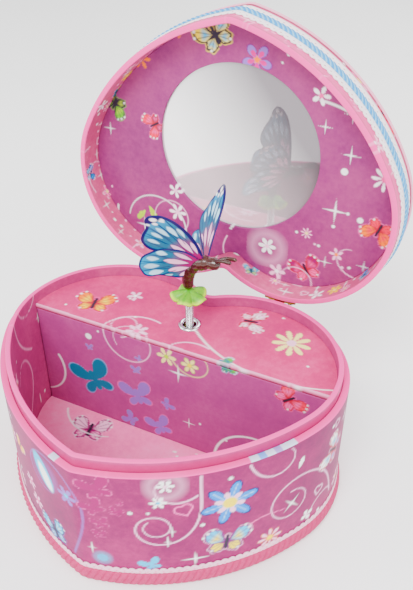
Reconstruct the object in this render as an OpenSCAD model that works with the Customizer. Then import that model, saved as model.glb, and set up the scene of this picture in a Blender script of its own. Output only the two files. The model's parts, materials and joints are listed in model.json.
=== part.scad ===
// Heart-shaped wind-up music box with a lid mirror and a turning butterfly.
// Millimetres. +Z is up, -Y is the point of the heart, and the box stands on z = 0.
// x = 0 is the middle of the heart and y = 0 is the line through the centres of its two lobes.

/* [Heart outline] */
// Distance of each lobe's centre from the middle
lobe_x = 31; // [28:0.5:37.5]
// Radius of each lobe
lobe_r = 50; // [44:0.5:60]
// Distance of the front point's centre from the lobes' centres
point_y = 71.5; // [62:0.5:86]
// Radius of the front point
point_r = 9; // [7:0.5:14]
// Radius of the long side curves
side_r = 108; // [100:1:150]
// Radius of the notch between the lobes
notch_r = 4; // [3:0.5:6]

/* [Box] */
// Height of the outer wall
wall_h = 66; // [55:0.5:80]
// Thickness of the outer wall's board
wall_t = 3; // [2:0.1:4]
// Thickness of the inner collar's board
collar_t = 2.2; // [1.5:0.1:3]
// Height of the collar above the wall
collar_rise = 5; // [3:0.5:6]
// Thickness of the glue between lined boards
glue_gap = 0.1; // [0.05:0.01:0.2]
// Thickness of the bottom panel
bottom_t = 2.5; // [1.5:0.1:4]
// Height of the bottom panel above the wall's lower edge
bottom_lift = 0.5; // [0.2:0.1:2]
// Thickness of the lined floor board
floor_t = 1; // [0.8:0.1:2]
// Thickness of the partition
partition_t = 2.5; // [2:0.1:4]
// Thickness of the shelf
shelf_t = 2.5; // [2:0.1:4]
// Depth of the shelf's top below the wall's top edge
shelf_drop = 0.5; // [0:0.1:3]
// Height of the braid's top edge round the foot
braid_h = 8; // [5:0.5:12]
// Height of the braid's lower edge above the surface
braid_lift = 0.3; // [0.2:0.1:1]
// Thickness of the braid round the foot
braid_t = 2.1; // [1:0.1:3]
// Height of the lace above the braid
lace_h = 3; // [2:0.5:5]
// Thickness of the lace
lace_t = 0.6; // [0.4:0.1:1]

/* [Lid] */
// Depth of the lid
lid_h = 26; // [22:0.5:32]
// Thickness of the lid's wall
lid_t = 2.7; // [2:0.1:2.7]
// Depth of the liner below the lid's rim
liner_depth = 13; // [11:0.5:16]
// Thickness of the liner board and of the lid's top board
liner_t = 1.5; // [1:0.1:2.5]
// Thickness of the lid's top board
lid_top_t = 2.5; // [1.5:0.1:3]
// Gap between the closed lid's rim and the wall
lid_gap = 0.3; // [0.2:0.05:0.6]
// Radius of the round window over the mirror
mirror_r = 40.5; // [30:0.5:44]
// Height of the mirror's centre, measured towards the lobes
mirror_y = -18; // [-22:0.5:-10]
// Thickness of the mirror
mirror_t = 1; // [0.8:0.1:2]
// Angle to which the lid opens
lid_open = 91; // [60:1:100]
// Distance of the lid's lace from its rim
trim_start = 5.2; // [5:0.1:8]
// Width of the lid's lace
trim_w = 15; // [10:0.5:16]
// Width of the ribbon on the lid's lace
ribbon_w = 5; // [3:0.5:7]
// Thickness of the ribbon
ribbon_t = 1.1; // [0.5:0.1:1.5]
// Width of the piping round the lid's top edge
piping_w = 2; // [1:0.1:2.5]

/* [Hinges] */
// Distance of the hinge pin behind the lobes
hinge_back = 2; // [1.8:0.1:3]
// Depth of the hinge pin below the wall's top edge
hinge_drop = 2.5; // [2:0.1:4]
// Radius of the hinge pin
pin_r = 0.8; // [0.6:0.1:1]
// Radius of the hinge's knuckles
knuckle_r = 1.55; // [1.4:0.05:2]
// Width of each hinge
hinge_w = 16; // [12:1:20]
// Thickness of the hinge leaves
leaf_t = 0.7; // [0.5:0.1:1]

/* [Figure] */
// Distance of the spindle behind the lobes' centres
spindle_y = 18; // [16:0.5:24]
// Outer radius of the eyelet in the shelf
eyelet_r = 5.5; // [4.5:0.1:7]
// Inner radius of the eyelet
eyelet_bore_r = 3; // [2.6:0.1:4]
// Mean radius of the figure's spring
spring_r = 1.6; // [1.2:0.1:2]
// Radius of the spring's wire
spring_wire_r = 0.35; // [0.3:0.05:0.45]
// Distance from the bend of the spring up to the flower
stem_h = 20.5; // [20:0.5:26]
// Outer radius of the flower
flower_r = 8.5; // [6:0.5:9]
// Thickness of the flower's petals
petal_t = 1.6; // [1:0.1:3]
// Length of the butterfly's body
body_len = 27; // [20:0.5:28]
// Lean of the butterfly's body from upright
body_lean = 34; // [20:1:36]
// Length of the butterfly's front wings
wing_len = 34; // [26:0.5:36]
// Angle of each wing above level
wing_lift = 48; // [30:1:60]
// Thickness of the wings
wing_t = 0.6; // [0.4:0.1:1]
// Angle through which the figure folds as the lid shuts
fold_angle = 95; // [90:1:97]

/* [Movement] */
// Height of the recess for the key
recess_h = 17; // [15:0.5:20]
// Thickness of the board that the movement stands on
board_t = 3; // [2:0.5:4]
// Thickness of the bedplate
bed_t = 1.8; // [1.5:0.1:2.5]
// Radial clearance of every running fit
run = 0.05; // [0.02:0.01:0.08]
// Radius of the winding arbor
arbor_r = 2; // [1.5:0.1:2.5]
// Outer radius of the spring barrel
barrel_r = 10.5; // [8:0.5:10.5]
// Height of the spring barrel
barrel_h = 8; // [6:0.5:10]
// Module of the main wheel's rim teeth
main_m = 0.95; // [0.9:0.01:1]
// Teeth on the main wheel
main_teeth = 30; // [30:30:30]
// Teeth on the spindle's pinion
spindle_teeth = 16; // [16:16:16]
// Direction of the barrel from the spindle
barrel_angle = 156; // [152:1:160]
// Teeth on the cylinder's pinion
pinion_teeth = 10; // [10:10:10]
// Mean radius of the main wheel's crown teeth
crown_r = 12; // [11.5:0.1:12]
// Radius of the music cylinder
cylinder_r = 6.5; // [5:0.5:7]
// Length of the music cylinder
cylinder_len = 20; // [20:0.5:20.5]
// Radius of the spindle
spindle_r = 1.5; // [1.2:0.1:1.8]
// Number of the comb's teeth
comb_teeth = 18; // [12:1:18]
// Width of one comb tooth with its slot
comb_pitch = 1.1; // [1:0.05:1.1]

/* [Hidden] */
$fn = 48;

// Box levels and outlines (an outline offset is measured outwards from the wall's outer face)
collar_out = -wall_t - glue_gap;
collar_in = collar_out - collar_t;
liner_out = collar_in - glue_gap;
collar_top = wall_h + collar_rise;
bottom_top = bottom_lift + bottom_t;
floor_top = bottom_top + floor_t;
shelf_top = wall_h - shelf_drop;
shelf_under = shelf_top - shelf_t;
step_angle = 4; // turn of the outline from one point to the next
far = 200; // longer than the box

// Lid, in its closed place
rim_z = wall_h + lid_gap;
liner_z = wall_h + liner_depth;
lid_top_z = wall_h + lid_h - lid_top_t;
lid_in = -lid_t - glue_gap;
mirror_rim = 1.5; // width of the mirror's edge behind the liner
trim_z = wall_h + trim_start;
ribbon_z = trim_z + (trim_w - ribbon_w) / 2;
hinge_y = lobe_r + hinge_back;
hinge_z = wall_h - hinge_drop;
leaf_gap = 0.35; // gap between the lid leaf and the wall behind it
knuckle_gap = 0.15;
screw_r = 0.9;
screw_head_r = 1.7;

// Movement levels and places
board_top = recess_h + board_t;
bed_top = board_top + bed_t;
ratchet_z = bed_top + 0.3;
ratchet_t = 1.2;
ratchet_teeth = 12;
ratchet_r = 5.5;
barrel_z = ratchet_z + ratchet_t + 0.5;
barrel_wall = 0.7;
wheel_z = barrel_z + barrel_h;
wheel_t = 2;
main_r = main_m * main_teeth / 2;
spindle_wheel_r = main_m * spindle_teeth / 2;
train_gap = 0.12; // extra centre distance of the rim teeth
train_dist = main_r + spindle_wheel_r + train_gap;
barrel_x = train_dist * cos(barrel_angle);
barrel_y = spindle_y + train_dist * sin(barrel_angle);
crown_pitch_r = crown_r * pinion_teeth / main_teeth;
crown_add = 0.7;
crown_pitch_z = wheel_z + wheel_t + 1;
crown_w = 2.2;
axis_z = crown_pitch_z + crown_pitch_r;
pinion_x = barrel_x - crown_r;
pinion_w = 1.5;
plate_t = 1.4;
frame_x1 = barrel_x - main_r - main_m - 0.4;
drum_x1 = frame_x1 - plate_t - 0.6;
small_m = 0.6;
small_w = 1.2;
cylinder_wheel_teeth = 24;
governor_pinion_teeth = 10;
wheel_side_gap = 0.3; // between the drum and the wheel beside it
wheel_far_y = barrel_y + small_m * (cylinder_wheel_teeth / 2 + 1);
collar_in_r = lobe_r + collar_in;
collar_x = -lobe_x - sqrt(pow(collar_in_r, 2) - pow(wheel_far_y, 2)); // the collar beside the wheel
drum_x0 = max(drum_x1 - cylinder_len, collar_x + 0.4 + small_w + wheel_side_gap);
cylinder_wheel_x = drum_x0 - wheel_side_gap;
frame_x0 = cylinder_wheel_x - small_w - 0.8;
shaft_r = 1;
pivot_r = 0.6;
pin_out = 0.5; // how far the cylinder's pins stand out
governor_angle = 193;
governor_dist = small_m * (cylinder_wheel_teeth + governor_pinion_teeth) / 2 + 0.08;
governor_y = barrel_y + governor_dist * cos(governor_angle);
governor_z = axis_z + governor_dist * sin(governor_angle);
worm_teeth = 20;
worm_m = 0.38;
worm_pitch = PI * worm_m;
worm_r = 1;
worm_throw = 0.45;
worm_phase = 90; // puts a valley of the thread at the wheel's level
worm_wheel_r = worm_m * worm_teeth / 2;
worm_x = frame_x0 - plate_t - 1.6;
worm_y = governor_y - worm_wheel_r - worm_r;
worm_wheel_t = 0.8;
fan_r = 4.2;
bracket_x = worm_x - fan_r - 0.6 - plate_t;
bracket_lo = governor_z - 11;
fan_z = governor_z + 7;
fan_h = 4;
bracket_hi = fan_z + fan_h + 1;
comb_x = (drum_x0 + drum_x1) / 2;
comb_t = 1;
comb_tip_y = barrel_y - cylinder_r - pin_out - 0.08;
comb_heel = 5;
comb_back_y = partition_t + 2;
comb_w = comb_teeth * comb_pitch;
comb_slot = 0.25;
bed_margin = 1.5;
bed_x0 = bracket_x - bed_margin;
bed_x1 = 6; // the bed's end past the spindle
bed_front = partition_t + bed_margin;
bed_back = barrel_y + 10;
bed_round = 7; // half the width of the bed's end round the spindle
bed_points = [
    [bed_x0, bed_front], [bed_x0, barrel_y - 9], [worm_x - 2, barrel_y], [frame_x0 + 7.5, bed_back],
    [barrel_x + 11, bed_back], [bed_x1, spindle_y + bed_round], [bed_x1, spindle_y - bed_round],
    [bed_x1 - 10, bed_front]
];
bed_screws = [
    [frame_x0 - 2.5, bed_front + 2.2], [frame_x0 + 4.5, barrel_y + 4], [barrel_x + 10, bed_front + 4]
];
key_w = 20;
key_z = 2.5;
key_stem_r = 3.2;
key_stem_z = 8;
click_x = -9; // the click's post, from the arbor
click_y = -6.5;
click_len = 9.3;

// Figure
bend_z = shelf_under - 0.5;
bush_h = 4;
spring_z = bend_z + 0.9;
flower_z = bend_z + stem_h;
flower_boss = 1.5;
tail_z = flower_z + petal_t + flower_boss + 0.1;
body_r = 2;
body_swing = 7; // turn of the leaning body towards the front
body_dir = [sin(body_lean) * cos(body_swing), -sin(body_lean) * sin(body_swing), cos(body_lean)];
side_raw = [-0.3, -0.954, 0];
side_dir = unit(side_raw - body_dir * (side_raw * body_dir));
back_dir = cross(side_dir, body_dir);
wing_root = [0, spindle_y, tail_z] + body_dir * body_len * 0.66 + back_dir * (body_r + 0.2);

function unit(v) = v / norm(v);

// Points on an arc about c from angle a0 to a1
function arc(c, r, a0, a1) =
    let (n = max(2, ceil(abs(a1 - a0) / step_angle)))
    [for (i = [0:n]) let (a = a0 + (a1 - a0) * i / n) c + r * [cos(a), sin(a)]];

function tail(list) = [for (i = [1:len(list) - 1]) list[i]];

// Heart outline, moved outwards by off: point arc, side arc, lobe arc and notch arc, then mirrored
function heart(off) =
    let (
        lobe = [lobe_x, 0],
        point = [0, -point_y],
        a = side_r - lobe_r,
        b = side_r - point_r,
        d = norm(point - lobe),
        along = (a * a - b * b + d * d) / (2 * d),
        across = sqrt(a * a - along * along),
        u = (point - lobe) / d,
        side = lobe + u * along + [u[1], -u[0]] * across,
        notch = [0, sqrt(pow(lobe_r + notch_r, 2) - lobe_x * lobe_x)],
        to_point = point - side,
        to_lobe = lobe - side,
        a_point = atan2(to_point[1], to_point[0]),
        a_lobe = atan2(to_lobe[1], to_lobe[0]),
        a_notch = atan2(notch[1], -lobe_x),
        half = concat(
            arc(point, point_r + off, -90, a_point),
            tail(arc(side, side_r + off, a_point, a_lobe)),
            tail(arc(lobe, lobe_r + off, a_lobe, a_notch)),
            tail(arc(notch, notch_r - off, a_notch - 180, -90))
        )
    )
    concat(half, [for (i = [len(half) - 2:-1:1]) [-half[i][0], half[i][1]]]);

// Board of the heart's outline from z0 to z1
module board(off, z0, z1) {
    translate([0, 0, z0]) linear_extrude(z1 - z0) polygon(heart(off));
}

// Hoop between two outlines from z0 to z1
module hoop(outer, inner, z0, z1) {
    translate([0, 0, z0]) linear_extrude(z1 - z0) difference() {
        polygon(heart(outer));
        polygon(heart(inner));
    }
}

// Part of a board between y0 and y1
module strip_of_board(off, z0, z1, y0, y1) {
    intersection() {
        board(off, z0, z1);
        translate([-far / 2, y0, z0 - 1]) cube([far, y1 - y0, z1 - z0 + 2]);
    }
}

// Puts the closed lid's pieces in their open place
module opened() {
    translate([0, hinge_y, hinge_z]) rotate([-lid_open, 0, 0]) translate([0, -hinge_y, -hinge_z]) children();
}

// Round bar along Z, along X or along Y
module bar_z(x, y, z0, z1, r) {
    translate([x, y, z0]) cylinder(h = z1 - z0, r = r);
}
module bar_x(x0, x1, y, z, r) {
    translate([x0, y, z]) rotate([0, 90, 0]) cylinder(h = x1 - x0, r = r);
}
module bar_y(x, y0, y1, z, r) {
    translate([x, y0, z]) rotate([-90, 0, 0]) cylinder(h = y1 - y0, r = r);
}

// Plate whose outline lies in Y and Z, from x0 to x1
module plate_yz(x0, x1) {
    translate([x0, 0, 0]) rotate([90, 0, 90]) linear_extrude(x1 - x0) children();
}

// Involute gear outline: half angle of a tooth at radius p is (90 / teeth - slack) + inv(20) - inv(p)
function inv(a) = tan(a) * 180 / PI - a;
function half_tooth(m, teeth, p, slack) =
    let (base = m * teeth / 2 * cos(20), safe = max(p, base))
    90 / teeth - slack + inv(20) - inv(acos(base / safe));
function gear(m, teeth, slack = 0.6, add = 0.95, ded = 1.2, turn = 0) =
    let (
        r = m * teeth / 2,
        r0 = r - ded * m,
        r1 = r + add * m,
        base = max(r * cos(20), r0 + 0.01),
        radii = [r0, base, (base + r1) / 2, r1]
    )
    [for (k = [0:teeth - 1]) each concat(
        [for (p = radii) let (a = turn + k * 360 / teeth - half_tooth(m, teeth, p, slack))
            p * [cos(a), sin(a)]],
        [for (i = [3:-1:0]) let (p = radii[i], a = turn + k * 360 / teeth + half_tooth(m, teeth, p, slack))
            p * [cos(a), sin(a)]]
    )];

// ---- Box ----
module outer_wall() {
    color("hotpink") hoop(0, -wall_t, 0, wall_h);
}

module bottom_panel() {
    color("lightpink") strip_of_board(liner_out, bottom_lift, bottom_top, -far / 2, partition_t + 6);
}

module inner_collar() {
    color("palevioletred") hoop(collar_out, collar_in, bottom_lift, collar_top);
}

module compartment_floor() {
    color("pink") strip_of_board(liner_out, bottom_top + 0.05, floor_top, -far / 2, -glue_gap);
}

module partition() {
    color("mediumvioletred") strip_of_board(liner_out, bottom_top + 0.05, shelf_under - 0.05, 0, partition_t);
}

module shelf() {
    color("pink") difference() {
        strip_of_board(liner_out, shelf_under, shelf_top, 0, far / 2);
        bar_z(0, spindle_y, shelf_under - 1, shelf_top + 1, eyelet_bore_r + 0.7);
    }
}

module foot_braid() {
    color("crimson") hoop(glue_gap + braid_t, glue_gap, braid_lift, braid_h);
}

module foot_lace() {
    color("mistyrose") hoop(glue_gap + lace_t, glue_gap, braid_h + 0.05, braid_h + lace_h);
}

// Eyelet: a tube through the shelf with a rounded flange on top
module eyelet() {
    flange = 1.1;
    tube_w = 0.6;
    color("silver") translate([0, spindle_y, 0]) rotate_extrude() {
        translate([eyelet_bore_r, shelf_under + 0.05]) square([tube_w, shelf_top - shelf_under]);
        translate([eyelet_bore_r, shelf_top + 0.05]) difference() {
            square([eyelet_r - eyelet_bore_r, flange]);
            translate([eyelet_r - eyelet_bore_r, flange]) rotate(45) square(flange, center = true);
        }
    }
}

// Flanged bush under the shelf that guides the spindle
module spindle_bush() {
    bush_r = 2.9;
    color("goldenrod") difference() {
        union() {
            bar_z(0, spindle_y, shelf_under - bush_h, shelf_under - 0.05, bush_r);
            bar_z(0, spindle_y, shelf_under - 1.5, shelf_under - 0.05, 6);
        }
        bar_z(0, spindle_y, shelf_under - bush_h - 1, shelf_under + 1, spindle_r + run);
    }
}

// ---- Hinges, one at the back of each lobe ----
knuckle_third = (hinge_w - 2 * knuckle_gap) / 3;
screw_off = hinge_w / 2 - 3;
base_screw_z = hinge_z - 7;
base_leaf_z = hinge_z - 11;
lid_screw_z = (rim_z + trim_z) / 2 + 0.1;
screw_head_t = 0.7;

module both_lobes() {
    for (side = [-1, 1]) translate([side * lobe_x, 0, 0]) children();
}

// Curved leaf that follows the lobe, from z0 to z1
module leaf(gap, z0, z1, w) {
    difference() {
        intersection() {
            translate([0, 0, z0]) cylinder(h = z1 - z0, r = lobe_r + gap + leaf_t, $fn = 180);
            translate([-w / 2, lobe_r - 8, z0 - 1]) cube([w, 12, z1 - z0 + 2]);
        }
        translate([0, 0, z0 - 1]) cylinder(h = z1 - z0 + 2, r = lobe_r + gap, $fn = 180);
    }
}

module hinge_base_leaves() {
    color("gold") both_lobes() difference() {
        union() {
            leaf(glue_gap, base_leaf_z, hinge_z - knuckle_r + 0.4, hinge_w);
            for (side = [-1, 1])
                bar_x(side * (hinge_w / 2 - knuckle_third / 2) - knuckle_third / 2,
                    side * (hinge_w / 2 - knuckle_third / 2) + knuckle_third / 2, hinge_y, hinge_z, knuckle_r);
            for (side = [-1, 1])
                translate([side * (hinge_w / 2 - knuckle_third / 2) - knuckle_third / 2,
                    lobe_r + glue_gap, hinge_z - knuckle_r - 0.2])
                    cube([knuckle_third, hinge_back - pin_r - 0.3, 1.2]);
        }
        bar_x(-hinge_w, hinge_w, hinge_y, hinge_z, pin_r + run);
        for (side = [-1, 1]) bar_y(side * screw_off, lobe_r - 3, lobe_r + 4, base_screw_z, screw_r + run);
    }
}

module hinge_pins() {
    color("silver") both_lobes() bar_x(-hinge_w / 2, hinge_w / 2, hinge_y, hinge_z, pin_r);
}

// Small round-headed screws through the base leaves
module hinge_base_screws() {
    seat = glue_gap + leaf_t + 0.05;
    color("silver") both_lobes() for (side = [-1, 1])
        bar_y(side * screw_off, lobe_r + seat, lobe_r + seat + screw_head_t, base_screw_z, screw_head_r);
}

module hinge_lid_leaves() {
    leaf_top = trim_z - 0.2;
    color("gold") opened() both_lobes() difference() {
        union() {
            leaf(leaf_gap, hinge_z, leaf_top, knuckle_third);
            leaf(leaf_gap, rim_z + 0.4, leaf_top, hinge_w);
            bar_x(-knuckle_third / 2, knuckle_third / 2, hinge_y, hinge_z, knuckle_r);
        }
        bar_x(-hinge_w, hinge_w, hinge_y, hinge_z, pin_r + run);
        for (side = [-1, 1])
            bar_y(side * screw_off, lobe_r - 3, lobe_r + 4, lid_screw_z, screw_r + run);
    }
}

module hinge_lid_screws() {
    seat = leaf_gap + leaf_t + 0.05;
    color("silver") opened() both_lobes() for (side = [-1, 1])
        bar_y(side * screw_off, lobe_r + seat, lobe_r + seat + screw_head_t, lid_screw_z, screw_head_r);
}

// ---- Lid ----
module lid_wall() {
    color("pink") opened() hoop(0, -lid_t, rim_z, lid_top_z);
}

module lid_top() {
    color("lightpink") opened() board(0, lid_top_z + 0.05, wall_h + lid_h);
}

// Liner board with the round window
module lid_liner() {
    color("mediumorchid") opened() difference() {
        board(lid_in, liner_z, liner_z + liner_t);
        bar_z(0, mirror_y, liner_z - 1, liner_z + liner_t + 1, mirror_r);
    }
}

module lid_spacer() {
    color("tan") opened() hoop(lid_in, lid_in - 3, liner_z + liner_t + 0.05, lid_top_z);
}

module mirror() {
    z0 = liner_z + liner_t + 0.05;
    color("lightsteelblue") opened() bar_z(0, mirror_y, z0, z0 + mirror_t, mirror_r + mirror_rim);
}

module lid_lace() {
    color("white") opened() hoop(glue_gap + lace_t, glue_gap, trim_z, trim_z + trim_w);
}

module lid_ribbon() {
    inside = glue_gap + lace_t + 0.05;
    color("turquoise") opened() hoop(inside + ribbon_t, inside, ribbon_z, ribbon_z + ribbon_w);
}

module lid_piping() {
    color("mistyrose") opened()
        hoop(glue_gap + 0.9, glue_gap, wall_h + lid_h - piping_w - 0.5, wall_h + lid_h - 0.5);
}

// ---- Movement ----
module support_battens() {
    batten_w = 6;
    batten_h = 8;
    batten_len = 120;
    block = [14, 5];
    z0 = recess_h - batten_h;
    color("burlywood") {
        translate([-batten_len / 2, partition_t + 0.05, z0]) cube([batten_len, batten_w, batten_h - 0.05]);
        for (side = [-1, 1]) translate([side * lobe_x - block[0] / 2, lobe_r + collar_in - block[1] - 2, z0])
            cube([block[0], block[1], batten_h - 0.05]);
    }
}

module movement_board() {
    color("tan") difference() {
        strip_of_board(liner_out, recess_h, board_top, partition_t + 0.05, far / 2);
        bar_z(barrel_x, barrel_y, 0, far, key_stem_r + 1.5);
        for (p = bed_screws) bar_z(p[0], p[1], 0, far, screw_r + run);
    }
}

module bedplate() {
    color("darkkhaki") difference() {
        translate([0, 0, board_top + 0.02]) linear_extrude(bed_t - 0.02) polygon(bed_points);
        bar_z(barrel_x, barrel_y, 0, far, arbor_r + run);
        bar_z(0, spindle_y, 0, far, spindle_r + run);
        for (p = bed_screws) bar_z(p[0], p[1], 0, far, screw_r + run);
    }
}

module movement_screws() {
    color("silver") for (p = bed_screws) {
        bar_z(p[0], p[1], recess_h + 0.2, bed_top + 0.5, screw_r);
        bar_z(p[0], p[1], bed_top + 0.02, bed_top + 1, screw_head_r);
    }
}

// Two uprights that carry the cylinder; the left one also carries the governor wheel
module movement_frame() {
    foot_z = bed_top + 0.02;
    color("darkkhaki") difference() {
        union() {
            for (x = [frame_x1 - plate_t, frame_x0 - plate_t])
                plate_yz(x, x + plate_t) translate([barrel_y - 6, foot_z])
                    square([x == frame_x0 - plate_t ? 11 : 10, axis_z - foot_z + 3]);
            plate_yz(frame_x0 - plate_t, frame_x0) translate([governor_y - 3, foot_z])
                square([barrel_y - governor_y, governor_z - foot_z + 3]);
        }
        bar_x(frame_x1 - plate_t - 1, frame_x1 + 1, barrel_y, axis_z, shaft_r + run);
        bar_x(frame_x0 - plate_t - 1, frame_x0 + 1, barrel_y, axis_z, shaft_r + run);
        bar_x(frame_x0 - plate_t - 1, frame_x0 + 1, governor_y, governor_z, pivot_r + run);
    }
}

module comb_base() {
    color("dimgray") difference() {
        translate([comb_x - comb_w / 2, comb_back_y, bed_top + 0.02])
            cube([comb_w, comb_heel, axis_z - comb_t / 2 - bed_top - 0.04]);
        for (side = [-1, 1])
            bar_z(comb_x + side * comb_w / 4, comb_back_y + comb_heel / 2, axis_z - 6, far, screw_r + run);
    }
}

// Tuned steel comb: a heel and a row of teeth cut by narrow slots
module comb() {
    z0 = axis_z - comb_t / 2;
    slot_y = comb_back_y + comb_heel + 0.5;
    color("silver") difference() {
        translate([comb_x - comb_w / 2, comb_back_y, z0]) cube([comb_w, comb_tip_y - comb_back_y, comb_t]);
        for (i = [1:comb_teeth - 1])
            translate([comb_x - comb_w / 2 + i * comb_pitch - comb_slot / 2, slot_y, z0 - 1])
                cube([comb_slot, far, comb_t + 2]);
        for (side = [-1, 1])
            bar_z(comb_x + side * comb_w / 4, comb_back_y + comb_heel / 2, z0 - 1, z0 + 2, screw_r + run);
    }
}

module comb_screws() {
    z0 = axis_z + comb_t / 2 + 0.02;
    color("gold") for (side = [-1, 1]) {
        bar_z(comb_x + side * comb_w / 4, comb_back_y + comb_heel / 2, axis_z - 5, z0 + 0.5, screw_r);
        bar_z(comb_x + side * comb_w / 4, comb_back_y + comb_heel / 2, z0, z0 + 1.1, screw_head_r);
    }
}

// Bracket with a lug below and above the air brake
module governor_bracket() {
    y0 = worm_y - 3;
    depth = governor_y + 3 - y0;
    lug = 1.2;
    color("darkkhaki") difference() {
        union() {
            translate([bracket_x, y0, bed_top + 0.02]) cube([plate_t, depth, bracket_hi + lug - bed_top]);
            for (z = [bracket_lo, bracket_hi])
                translate([bracket_x, y0, z]) cube([worm_x + 1.4 - bracket_x, 6, lug]);
        }
        bar_x(bracket_x - 1, bracket_x + plate_t + 1, governor_y, governor_z, pivot_r + run);
        for (z = [bracket_lo, bracket_hi]) bar_z(worm_x, worm_y, z - 1, z + lug + 1, pivot_r + run);
    }
}

module click_post() {
    color("silver") {
        bar_z(barrel_x + click_x, barrel_y + click_y, bed_top + 0.02, ratchet_z + ratchet_t + 0.2, pin_r);
    }
}

// ---- Winding parts ----
module winding_key() {
    wing_r = 5.2;
    wing_x = key_w / 2 - wing_r;
    color("gold") translate([barrel_x, barrel_y, 0]) difference() {
        union() {
            bar_z(0, 0, key_stem_z, recess_h - 0.8, key_stem_r);
            translate([0, 1, key_z + wing_r]) rotate([90, 0, 0]) linear_extrude(2) difference() {
                union() {
                    for (side = [-1, 1]) translate([side * wing_x, 0]) circle(wing_r);
                    translate([-wing_x, 0]) square([2 * wing_x, wing_r]);
                    translate([-key_stem_r, 0]) square([2 * key_stem_r, wing_r + 2]);
                }
                for (side = [-1, 1]) translate([side * wing_x, 0]) circle(1.8);
            }
        }
        bar_z(0, 0, key_stem_z + 4, far, arbor_r + run);
    }
}

module winding_arbor() {
    color("silver") bar_z(barrel_x, barrel_y, key_stem_z + 4.1, wheel_z + wheel_t + 0.6, arbor_r);
}

// Ratchet with radial stop faces
module ratchet_wheel() {
    color("goldenrod") translate([barrel_x, barrel_y, ratchet_z]) difference() {
        linear_extrude(ratchet_t) polygon([for (k = [0:ratchet_teeth - 1]) each [
            (ratchet_r - 1) * [cos(k * 30 - 1.5), sin(k * 30 - 1.5)],
            ratchet_r * [cos(k * 30), sin(k * 30)]
        ]]);
        translate([0, 0, -1]) cylinder(h = ratchet_t + 2, r = arbor_r + 0.02);
    }
}

// Pawl whose tip stands in a ratchet tooth
module click() {
    tip = click_len - 1;
    color("silver") translate([barrel_x + click_x, barrel_y + click_y, ratchet_z]) difference() {
        linear_extrude(ratchet_t - 0.1) difference() {
            union() {
                circle(pin_r + 1.1);
                polygon([[0, -1.7], [tip, -0.4], [tip + 0.25, 1.45], [tip - 0.6, 0.9], [0, 1.5]]);
            }
            circle(pin_r + run);
        }
    }
}

module spring_barrel() {
    color("goldenrod") translate([barrel_x, barrel_y, barrel_z]) difference() {
        cylinder(h = barrel_h - 0.02, r = barrel_r);
        translate([0, 0, -1]) cylinder(h = barrel_h + 2, r = barrel_r - barrel_wall);
    }
}

// Flat spring wound in a spiral from the arbor out to the barrel
module mainspring() {
    coils = 6;
    strip = 0.4;
    r_in = arbor_r + 0.8;
    r_out = barrel_r - barrel_wall - 0.1 - strip;
    per_coil = 18;
    n = coils * per_coil;
    spiral = [for (i = [0:n])
        let (r = r_in + (r_out - r_in) * i / n, a = i * 360 / per_coil) r * [cos(a), sin(a)]];
    back = [for (i = [n:-1:0])
        let (r = r_in + (r_out - r_in) * i / n + strip, a = i * 360 / per_coil) r * [cos(a), sin(a)]];
    color("steelblue") translate([barrel_x, barrel_y, barrel_z + 0.5]) linear_extrude(barrel_h - 1)
        polygon(concat(spiral, back));
}

// Main wheel: rim teeth for the spindle and crown teeth for the cylinder
module main_wheel() {
    turn_rim = barrel_angle - 180;
    tooth_half = 0.34 * 180 / main_teeth;
    color("gold") translate([barrel_x, barrel_y, wheel_z]) difference() {
        union() {
            linear_extrude(wheel_t) polygon(gear(main_m, main_teeth, turn = turn_rim));
            for (k = [0:main_teeth - 1]) rotate(180 + k * 360 / main_teeth) crown_tooth(tooth_half);
        }
        translate([0, 0, -1]) cylinder(h = wheel_t + 4, r = arbor_r + run);
    }
}

// One crown tooth: a radial ridge, wider at its foot
module crown_tooth(half) {
    foot = crown_r * sin(half) * 1.25;
    top = crown_r * sin(half) * 0.6;
    height = 1 + crown_add;
    translate([crown_r - crown_w / 2, 0, wheel_t]) rotate([90, 0, 90]) linear_extrude(crown_w)
        polygon([[-foot, -0.2], [foot, -0.2], [foot, 0], [top, height], [-top, height], [-foot, 0]]);
}

// ---- Cylinder ----
module music_cylinder() {
    tracks = comb_teeth;
    color("gold") difference() {
        union() {
            bar_x(drum_x0, drum_x1, barrel_y, axis_z, cylinder_r);
            for (i = [0:tracks - 1], j = [0:2])
                translate([comb_x - comb_w / 2 + (i + 0.5) * comb_pitch, barrel_y, axis_z])
                    rotate([(i * 77 + j * 131) % 360 + 8, 0, 0])
                    cylinder(h = cylinder_r + pin_out, r = 0.2, $fn = 6);
        }
        bar_x(drum_x0 - 1, drum_x1 + 1, barrel_y, axis_z, shaft_r + 0.02);
    }
}

module cylinder_arbor() {
    color("silver") bar_x(frame_x0 - plate_t - 0.2, pinion_x + pinion_w / 2 + 0.3, barrel_y, axis_z, shaft_r);
}

// Narrow pinion with flat-sided teeth and a gap straight down at rest
module cylinder_pinion() {
    root = crown_pitch_r - 1;
    tip = crown_pitch_r + crown_add;
    flanks = [[root, -11], [crown_pitch_r, -6.2], [tip, -2.2], [tip, 2.2], [crown_pitch_r, 6.2], [root, 11]];
    color("gold") difference() {
        union() {
            plate_yz(pinion_x - pinion_w / 2, pinion_x + pinion_w / 2) translate([barrel_y, axis_z])
                polygon([for (k = [0:pinion_teeth - 1]) each [
                    for (c = flanks) c[0] * [cos(k * 36 + c[1]), sin(k * 36 + c[1])]
                ]]);
        }
        bar_x(pinion_x - pinion_w, pinion_x + pinion_w, barrel_y, axis_z, shaft_r + 0.02);
    }
}

module cylinder_wheel() {
    color("gold") difference() {
        plate_yz(cylinder_wheel_x - small_w, cylinder_wheel_x) translate([barrel_y, axis_z])
            polygon(gear(small_m, cylinder_wheel_teeth, slack = 1, turn = governor_angle));
        bar_x(cylinder_wheel_x - small_w - 1, cylinder_wheel_x + 1, barrel_y, axis_z, shaft_r + 0.02);
    }
}

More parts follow.
